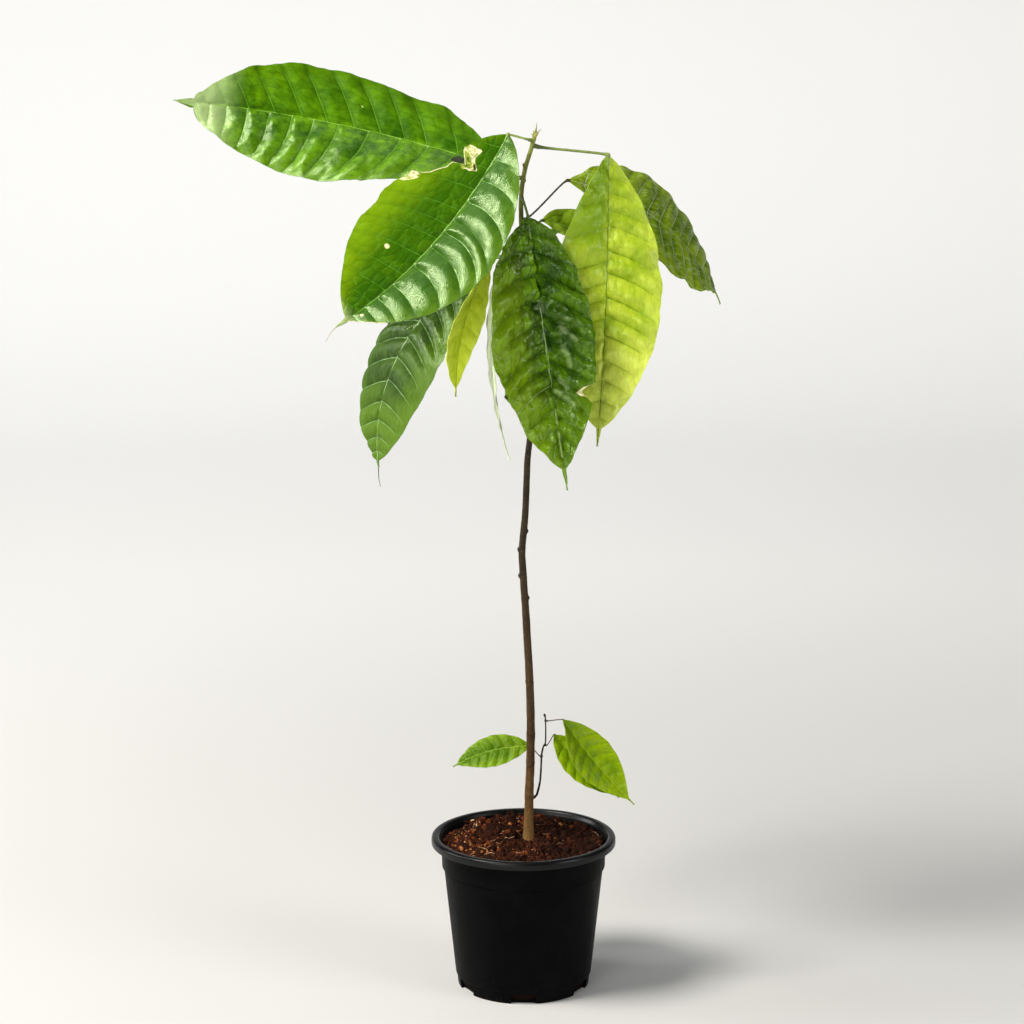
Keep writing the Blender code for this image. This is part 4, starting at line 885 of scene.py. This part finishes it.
def ribCourse(leaf, t):
    # heading, slope and roll run from the base's to the tip's; the middle rib is the running sum of the heading
    fine = np.linspace(0.0, 1.0, 401)
    azimuth, rise, roll = [np.radians(leaf[key][0] + (leaf[key][1] - leaf[key][0]) * fine ** power)
                           for key, power in (("azimuth", 1.0), ("rise", leaf["bend"]), ("roll", 1.0))]
    ahead = np.stack([np.cos(rise) * np.cos(azimuth), np.cos(rise) * np.sin(azimuth), np.sin(rise)], 1)
    level = np.stack([-np.sin(rise) * np.cos(azimuth), -np.sin(rise) * np.sin(azimuth), np.cos(rise)], 1)
    roll = roll[:, None]
    up = np.cos(roll) * level + np.sin(roll) * np.cross(ahead, level)
    steps = (ahead[1:] + ahead[:-1]) * 0.5 * leaf["length"] / 400.0
    rib = np.vstack([np.zeros(3), np.cumsum(steps, axis=0)]) + np.array(leaf["base"])
    courses = rib, ahead, np.cross(ahead, up), up
    return [np.stack([np.interp(t, fine, v[:, k]) for k in range(3)], -1) for v in courses]


def bladeShare(leaf, t):
    # half width as a share of the widest: a power of a sine for the body, a narrow power for the drip tip
    end = 1.0 - leaf["tip"] * 0.55
    power = math.log(0.5) / math.log(leaf["peak"] / end)
    body = np.clip(np.sin(np.pi * unit(t / end) ** power), 0.0, None) ** leaf["fullness"]
    drip = 0.07 * unit((1.0 - t) / leaf["tip"]) ** 0.8 * unit(t * 6.0)
    return (np.where(t > end, 0.0, body) ** 3 + drip ** 3) ** (1.0 / 3.0)


def veinLead(leaf, u, t, broad):
    # how far a side vein has run towards the tip: straight * broad + curved * broad^2.5
    base, tip, curved = [bySide(u, pair) for pair in zip(leaf["sweep"]["left"], leaf["sweep"]["right"])]
    return (base + (tip - base) * t) * broad + curved * broad ** 2.5


def veinNumber(leaf, side, t0):
    # vein k is where the number is k, evenly between
    starts = leaf["veins"]
    if isinstance(starts, dict):
        starts = np.array(starts[side])
    else:
        starts = np.linspace(0.05, 0.93, starts) + (0.5 * 0.88 / (starts - 1) if side == "left" else 0.0)
    number = np.interp(t0, starts, np.arange(len(starts)))
    number = np.where(t0 < starts[0], (t0 - starts[0]) / (starts[1] - starts[0]), number)
    return np.where(t0 > starts[-1], len(starts) - 1 + (t0 - starts[-1]) / (starts[-1] - starts[-2]), number)


def surfaceNormals(grid):
    # square to both directions of the grid, on the blade's upper side
    normal = np.cross(np.gradient(grid, axis=1), np.gradient(grid, axis=0))
    return normal / np.maximum(np.linalg.norm(normal, axis=-1), 1e-12)[..., None]


def netCells(x, y, seed):
    # a point jittered in each unit square: gap = second nearest distance - nearest; tone = the nearest point's number
    near, second, tone = np.full(x.shape, 9.0), np.full(x.shape, 9.0), np.zeros(x.shape)
    for i in (-1, 0, 1):
        for j in (-1, 0, 1):
            column, row = np.floor(x) + i, np.floor(y) + j
            spot = [softNoise(np.stack([column, row, np.full_like(x, k)], -1), 1.0, seed) for k in (1.0, 2.0, 3.0)]
            away = np.hypot(column + 0.5 + 0.42 * spot[0] - x, row + 0.5 + 0.42 * spot[1] - y)
            second = np.where(away < near, near, np.minimum(second, away))
            tone = np.where(away < near, spot[2], tone)
            near = np.minimum(near, away)
    return unit(second - near), tone


def outlineGap(outline, t, u, perLength, perHalf):
    # metres from each point to a closed outline of (place along, place across), negative inside it
    gap, inside = np.full(t.shape, 9.0), np.zeros(t.shape, bool)
    corners = np.array(outline)
    for a, b in zip(corners, np.roll(corners, -1, axis=0)):
        x, y = (t - a[0]) / perLength, (u - a[1]) / perHalf
        wayX, wayY = (b[0] - a[0]) / perLength, (b[1] - a[1]) / perHalf
        share = unit((x * wayX + y * wayY) / (wayX ** 2 + wayY ** 2))
        gap = np.minimum(gap, np.hypot(x - share * wayX, y - share * wayY))
        crossing = a[0] + (b[0] - a[0]) * (u - a[1]) / np.where(a[1] == b[1], 1.0, b[1] - a[1])
        inside ^= ((a[1] > u) != (b[1] > u)) & (t < crossing)
    return np.where(inside, -gap, gap)


def bladeSheet(leaf):
    # blade = rib + side * reach * cos(fold) + up * (reach * sin(fold) - camber * reach^2 / half),
    # and then its relief along the normal
    s = np.linspace(0.0, 1.0, leaf["rows"])
    start = s - 0.35 * np.sin(2.0 * np.pi * s) / (2.0 * np.pi)
    v = np.linspace(-1.0, 1.0, leaf["columns"])
    u = v * (0.55 + 0.45 * np.abs(v))
    half = bySide(u, (leaf["left"], leaf["right"]))[None, :]
    start, u = np.broadcast_arrays(start[:, None], u[None, :])
    # the grid's rows lean with the side veins, so that each crease lies along a row
    t = start
    for k in range(4):
        lean = veinLead(leaf, u, t, np.abs(u) * bladeShare(leaf, t))
        t = start + lean * unit(start / 0.12) * unit((1.0 - start) / 0.22)
    middle, ahead, side, up = ribCourse(leaf, t)
    least = 0.0004 / half
    share = np.maximum(bladeShare(leaf, t), least)
    edge = np.stack([t * leaf["length"], np.sign(u), 0.0 * u], -1)
    bites = softNoise(edge, 0.006, leaf["seed"]) + softNoise(edge, 0.0022, leaf["seed"] + 1) * 0.5
    kept = 1.0 + leaf["ragged"] * bites
    kept = np.where(share < 0.05, 1.0, np.minimum(kept, 1.0 + leaf["ragged"]))
    trims = [np.array(leaf["trim"].get(which, [(0.0, 1.0)])) for which in ("left", "right")]
    kept = kept * bySide(u, [np.interp(t, trim[:, 0], trim[:, 1]) for trim in trims])
    across = u * kept
    reach = np.abs(across) * share * half
    fade = unit((share - least) * 4.0)
    fold = math.radians(leaf["fold"])
    lift = reach * math.sin(fold) - leaf["camber"] * reach ** 2 / half
    flat = middle + side * (np.sign(u) * reach * math.cos(fold))[..., None] + up * (lift * fade)[..., None]
    begun = t - veinLead(leaf, u, t, reach / half)
    number = bySide(u, [veinNumber(leaf, which, begun) for which in ("left", "right")])
    part = number - np.floor(number)
    # between two side veins the blade swells up to its crest, then falls evenly to the next vein
    crest = bySide(u, leaf["crest"])
    crest = crest + (0.93 - crest) * unit(1.0 - np.abs(across) / leaf["wedge"]) ** 1.5
    pillow = np.sin(0.5 * np.pi * unit(part / crest)) * (1.0 - unit((part - crest) / (1.0 - crest)) ** leaf["fall"])
    inner = unit(np.abs(across) / 0.09) ** 0.7
    outer = unit((1.0 - np.abs(across)) / leaf["hem"])
    relief = bySide(u, leaf["pillow"]) * inner * outer ** 0.7 * unit(share * 1.05) ** 1.2 * (pillow - 0.5)
    gap, patch = netCells(number * bySide(u, leaf["rungs"]), across * share * half / leaf["mesh"], leaf["seed"] + 90)
    low = 1.0 - unit(gap / 0.35)
    relief -= bySide(u, leaf["net"]) * low ** 2 * inner * outer ** 0.5
    swing = np.sin(2.0 * np.pi * leaf["waves"] * t + np.sign(u) * 1.3 + leaf["seed"])
    relief += leaf["wave"] * swing * np.abs(across) ** 2.5 * fade
    place = np.stack([t * leaf["length"], across * share * half, 0.0 * t], -1)
    for amount, cell, more in ((1.0, 1.0, 7), (0.45, 0.4, 8)):
        lumps = softNoise(place, leaf["blister"][1] * cell, leaf["seed"] + more)
        relief += leaf["blister"][0] * amount * lumps * fade * inner
    relief -= 0.0005 * np.exp(-(reach / 0.0022) ** 2) * fade
    # each crease's mark paints the blade paler there: partly a pale blister, partly painted highlight where the fold
    # would glint
    paleCreaseGlint = np.zeros_like(t)
    perLength, perHalf = 1.0 / leaf["length"], 1.0 / half
    for t0, u0, t1, u1, wide, high in leaf["creases"]:
        gap = np.abs(outlineGap([(t0, u0), (t1, u1)], t, across, perLength, perHalf))
        relief += high * np.exp(-(gap / wide) ** 2) * fade
        paleCreaseGlint = np.maximum(paleCreaseGlint, np.exp(-(gap / wide) ** 2))
    sheet = flat + surfaceNormals(flat) * relief[..., None]
    normal = surfaceNormals(sheet)
    line = np.exp(-((0.5 - np.abs(part - 0.5)) / 0.05) ** 2) * inner * outer
    rib = leaf["ridge"] * (1.0 - 0.8 * t) * np.exp(-(reach / (0.0011 - 0.0005 * t)) ** 2)
    top = sheet + normal * (leaf["thick"] * 0.5 + 0.00025 * np.exp(-(reach / 0.0007) ** 2))[..., None]
    under = sheet - normal * (leaf["thick"] * 0.5 + rib + 0.0004 * line)[..., None]
    dead, burnt = np.zeros_like(t), np.zeros_like(t)
    for at, where, radius in leaf["dead"]:
        gap = np.hypot((t - at) * leaf["length"], (across - where) * share * half)
        dead = np.maximum(dead, unit(1.5 - gap / radius))
    for full, rim, outline in leaf["patches"]:
        gap = outlineGap(outline, t, u, perLength, perHalf)
        dead = np.maximum(dead, np.maximum(full * unit(0.5 - gap / 0.0016), rim * np.exp(-(gap / 0.0007) ** 2)))
    for outline in leaf["burnt"]:
        burnt = np.maximum(burnt, unit(0.5 - outlineGap(outline, t, u, perLength, perHalf) / 0.0030))
    torn = unit((0.95 - kept) / 0.05) * leaf["scorch"]
    dead = np.maximum(dead, torn * unit((np.abs(u) - 0.955) / 0.03))
    return dict(top=top, under=under, t=t, across=across, number=number, dead=dead, reach=np.sign(u) * reach, low=low,
                patch=patch, burnt=burnt, paleCreaseGlint=paleCreaseGlint)


def leafMaterial(name, leaf):
    # living cacao leaf: waxy cuticle over quilted flesh, a sunken net of veins, a paler matt underside
    material, add, finish = newMaterial(name)
    (along, across, number), (below, dead, reach), (low, patch, charred) = [
        add("SeparateXYZ", add("Attribute", attribute_name=key, out=1), out=None) for key in ("blade", "state", "net")]
    place, chart = add("TexCoord", out=3), add("UVMap", uv_map="chart")
    cloud = add("TexNoise", place, None, 42.0, 4.0, 0.55)
    mottle = add("TexNoise", chart, None, 260.0, 4.0, 0.65)
    away = add("Math", number, 0.5, operation="PINGPONG")  # how near the next side vein is
    far = add("Math", across, operation="ABSOLUTE")
    vein = add("MapRange", away, *leaf["veinWide"], 1.0, 0.0, **softStep)
    vein = add("Math", vein, add("MapRange", far, 0.55, 0.97, 1.0, 0.0), **times)
    # painted shade: near each sunken side vein the flesh is darkened with deep, by valley; underneath, the same mask
    # pales the veins
    valley = add("MapRange", away, 0.0, 0.16, 1.0, 0.0, **softStep)
    thin = add("MapRange", along, 0.0, 1.0, 1.0, 0.35)
    rib = add("Math", add("Math", reach, operation="ABSOLUTE"), thin, operation="DIVIDE")
    rib = add("MapRange", rib, 0.25, 0.55, 1.0, 0.0, **softStep)
    # small veins run as a ladder from one side vein to the next, about 5 mm apart
    wobble = add("TexNoise", chart, None, 120.0, 2.0, out=1)
    ladder = add("CombineXYZ", number, add("Math", reach, 0.2, **times), 0.0)
    ladder = add("VectorMath", wobble, (0.5, 0.5, 0.0), ladder, **timesPlus)
    rungs = add("TexVoronoi", ladder, None, 1.0, feature="DISTANCE_TO_EDGE")
    rung = add("MapRange", rungs, 0.0, 0.09, 1.0, 0.0, **softStep)
    cells = add("TexVoronoi", chart, None, 620.0, feature="DISTANCE_TO_EDGE")
    tone = add("MapRange", cloud, 0.33, 0.67, 0.5 - 0.5 * leaf["cloudy"], 0.5 + 0.5 * leaf["cloudy"], **softStep)
    tone = add("Math", add("MapRange", mottle, 0.3, 0.7, -0.2, 0.2), tone, operation="ADD")
    tone = add("Math", patch, leaf["patchy"], tone, use_clamp=True, **timesPlus)
    # the third layer is painted shade in the side-vein valleys
    layers = [(tone, leaf["bright"]), (add("MapRange", far, 0.5, 1.0, 0.0, 0.75), leaf["edge"]),
              (add("Math", valley, leaf["valley"], **times), leaf["deep"]),
              (add("MapRange", low, 0.35, 0.95, 0.0, leaf["netDark"], **softStep), leaf["deep"])]
    for along0, along1, across0, across1, tint, amount in leaf["tints"]:
        there = add("MapRange", along, along0, along1, 0.0, amount, **softStep)
        layers.append((add("Math", there, add("MapRange", across, across0, across1, **softStep), **times), tint))
    layers += [(add("Math", rung, leaf["netShow"], **times), leaf["vein"]),
               (add("Math", vein, leaf["veinShow"], **times), leaf["vein"])]
    # creases are painted paler along their middle: partly a pale blister, partly painted highlight
    if leaf["creases"]:
        raised = add("SeparateXYZ", add("Attribute", attribute_name="paleCreaseGlint", out=1))
        raised = add("Math", mottle, 1.1, raised, **timesPlus)
        layers.append((add("MapRange", raised, 0.95, 1.6, 0.0, 0.5), leaf["creaseGlintTone"]))
    for veinAt, start, full, amount in leaf["pale"]:
        near = add("Math", add("Math", number, veinAt, operation="SUBTRACT"), operation="ABSOLUTE")
        near = add("MapRange", near, 0.02, 0.055, amount, 0.0, **softStep)
        layers.append((add("Math", near, add("MapRange", across, start, full), **times), leaf["rib"]))
    flesh, back = leaf["deep"], leaf["under"]
    for amount, paint in layers + [(rib, leaf["rib"])]:
        flesh = add("Mix", {0: amount, 6: flesh, 7: paint}, **colourMix)
    for amount, paint in ((add("Math", valley, 0.5, **times), leaf["vein"]), (0.35, flesh)):
        back = add("Mix", {0: amount, 6: back, 7: paint}, **colourMix)
    frayed = add("Math", mottle, 0.9, dead, **timesPlus)
    sere, dry = add("MapRange", frayed, 0.82, 0.95), add("MapRange", frayed, 1.0, 1.12)
    charred = add("MapRange", add("Math", mottle, 0.8, charred, **timesPlus), 0.85, 1.2, 0.0, 0.95)
    for amount, paint in ((below, back), (sere, leaf["sere"]), (dry, leaf["dry"]), (charred, leaf["char"])):
        flesh = add("Mix", {0: amount, 6: flesh, 7: paint}, **colourMix)
    gloss = add("MapRange", mottle, 0.3, 0.7, leaf["gloss"] - 0.05, leaf["gloss"] + 0.08)
    gloss = add("Math", below, 0.25, gloss, **timesPlus)
    gloss = add("Math", gloss, add("MapRange", along, *leaf["dull"][:2], 0.0, leaf["dull"][2]), operation="ADD")
    gloss = add("Math", sere, 0.35, gloss, use_clamp=True, **timesPlus)
    height = add("MapRange", cells, 0.0, 0.25)
    for lump, amount in ((rung, -0.5), (vein, -1.0), (mottle, 1.2)):
        height = add("Math", lump, amount, height, **timesPlus)
    finish({"Base Color": flesh, "Roughness": gloss, "IOR": 1.46, "Specular IOR Level": leaf["shine"],
            "Specular Tint": leaf["wax"],
            "Normal": add("Bump", {"Strength": 0.36, "Distance": 0.00022, "Height": height})})
    return material


def stalkMaterial(name, tones):
    # leaf stalk: smooth green skin, darker or browner in the swollen joints at both ends
    material, add, finish = newMaterial(name)
    along = add("SeparateXYZ", add("Attribute", attribute_name="stalk", out=1))
    mottle = add("TexNoise", add("TexCoord", out=3), None, 500.0, 4.0, 0.6)
    foot, middle, head = tones
    base = add("ValToRGB", along, stops=[(0.0, foot), (1.0, head), (0.16, foot), (0.3, middle), (0.8, middle)])
    shade = add("MapRange", mottle, 0.3, 0.7, 0.75, 1.25)
    colour = add("Mix", {0: 1.0, 6: base, 7: add("CombineXYZ", shade, shade, shade)}, **colourTimes)
    finish({"Base Color": colour, "Roughness": 0.48,
            "Normal": add("Bump", {"Strength": 0.35, "Distance": 0.0002, "Height": mottle})})
    return material


def makeBlade(name, leaf):
    # two layers of the same grid, closed by a strip all round the edge
    sheet = bladeSheet(leaf)
    rows, columns = sheet["t"].shape
    count = rows * columns
    points = np.vstack([sheet["top"].reshape(-1, 3), sheet["under"].reshape(-1, 3)])
    i, j = np.arange(rows - 1) * columns, np.arange(columns - 1)
    left = np.stack([i, i + columns, i + columns + count, i + count], -1)
    foot = np.stack([j, j + count, j + 1 + count, j + 1], -1)
    faces = [gridFaces(rows, columns), gridFaces(rows, columns, first=count, flip=True),
             left, left[:, ::-1] + columns - 1, foot, foot[:, ::-1] + (rows - 1) * columns]
    sheet["below"], sheet["millimetres"] = 0.0 * sheet["t"], sheet["reach"] * 1000.0
    groups = dict(blade=("t", "across", "number"), state=("below", "dead", "millimetres"),
                  net=("low", "patch", "burnt"), paleCreaseGlint=("paleCreaseGlint",) * 3)
    fields = {field: np.tile(np.stack([sheet[key] for key in keys], -1).reshape(-1, 3), (2, 1))
              for field, keys in groups.items()}
    fields["state"][count:, 0] = 1.0  # the underside
    chart = np.tile(np.stack([sheet["t"] * leaf["length"], sheet["reach"]], -1).reshape(-1, 2), (2, 1))
    piece = putPiece(name + "_blade", points, faces, leafMaterial(name + "_flesh", leaf), name,
                     fields=fields, chart=chart, sharp=50.0)
    if leaf["dullHalf"]:
        shine, gloss = leaf["dullHalf"]
        piece.data.materials.append(leafMaterial(name + "_dullFlesh", {**leaf, "shine": shine, "gloss": gloss}))
        side = np.tile(sheet["across"].ravel(), 2)
        which = np.concatenate([side[np.asarray(f)].mean(1) > 0.0 for f in faces])
        piece.data.polygons.foreach_set("material_index", which.astype(np.int32))


def makeStalk(name, leaf, limb, limbRadius):
    # the stalk leaves its limb square to it and bends on to the blade's heading; both ends are swollen
    joint, way = lineAt(limb, leaf["joint"])
    base = np.array(leaf["base"])
    out = outward(joint, way, *base[:2])
    near = joint + out * (limbRadius + leaf["stalk"])
    s = np.linspace(0.0, 1.0, 60)[:, None]
    span = np.linalg.norm(base - near)
    rib, ahead, side, up = ribCourse(leaf, np.linspace(0.0, 0.10, 14))
    line = (near * (2 * s ** 3 - 3 * s ** 2 + 1) + out * span * 0.45 * (s ** 3 - 2 * s ** 2 + s)
            + base * (3 * s ** 2 - 2 * s ** 3) + ahead[0] * span * leaf["arrive"] * (s ** 3 - s ** 2))
    line = np.vstack([joint + out * limbRadius * 0.4, joint + out * limbRadius * 0.9, line,
                      rib[1:] - up[1:] * (leaf["stalk"] * 0.75)])
    s = s.ravel()
    radii = leaf["stalk"] * (0.82 + 0.55 * np.exp(-(s / 0.13) ** 2) + 0.62 / (1.0 + np.exp(-(s - 0.88) / 0.022)))
    radii = np.concatenate([[radii[0] * 1.2, radii[0] * 1.15], radii, leaf["stalk"] * np.linspace(1.2, 0.15, 13)])
    around = 18
    grid = carriedPoints(line, radii[:, None], around)
    wrinkle = 0.07 * softNoise(grid, leaf["stalk"] * 1.1, leaf["seed"] + 60)
    points = cappedPoints(grid + (grid - line[:, None]) * wrinkle[..., None], line)
    field = np.zeros((len(points), 3))
    field[:-2, 0] = np.repeat(np.concatenate([[0.0, 0.0], s, np.ones(13)]), around)
    field[-1, 0] = 1.0
    putPiece(name + "_stalk", points, carriedFaces(len(line), around),
             stalkMaterial(name + "_skin", leaf["stalkTones"]), name, fields={"stalk": field})


def makeHair(name, leaf):
    # the drip tip's dry end: a tapering tube on a Catmull-Rom curve through steps from the tip
    rows, around, thick, thin = 40, 8, 0.00048, 0.00016
    tip = ribCourse(leaf, np.array([0.985, 1.0]))[0]
    course = [(p[2], p[0], p[1]) for p in [tip[0], tip[1]] + [tip[1] + np.array(step) for step in leaf["hair"]]]
    line = smoothCourse(course, rows)
    share = np.linspace(0.0, 1.0, rows)
    points = cappedPoints(carriedPoints(line, thick + (thin - thick) * share[:, None], around), line)
    putPiece(name + "_hair", points, carriedFaces(rows, around), stalkMaterial(name + "_dryTip", leaf["hairTones"]),
             name, fields={"stalk": np.pad(np.repeat(share, around)[:, None], ((0, 2), (0, 2)))})


shootPath = shootLine(shootSizes["rows"])[0]
for leafName, own in leaves.items():
    onShoot = leafName.startswith("side_leaf")
    leaf = {**commonLeaf, **(sideLeaf if onShoot else {}), **own}
    makeBlade(leafName, leaf)
    limbRadius = 0.0007 if onShoot else float(stemRadius(leaf["joint"]))
    makeStalk(leafName, leaf, shootPath if onShoot else stemLine, limbRadius)
    if leaf["hair"]:
        makeHair(leafName, leaf)
print("leaves hang")
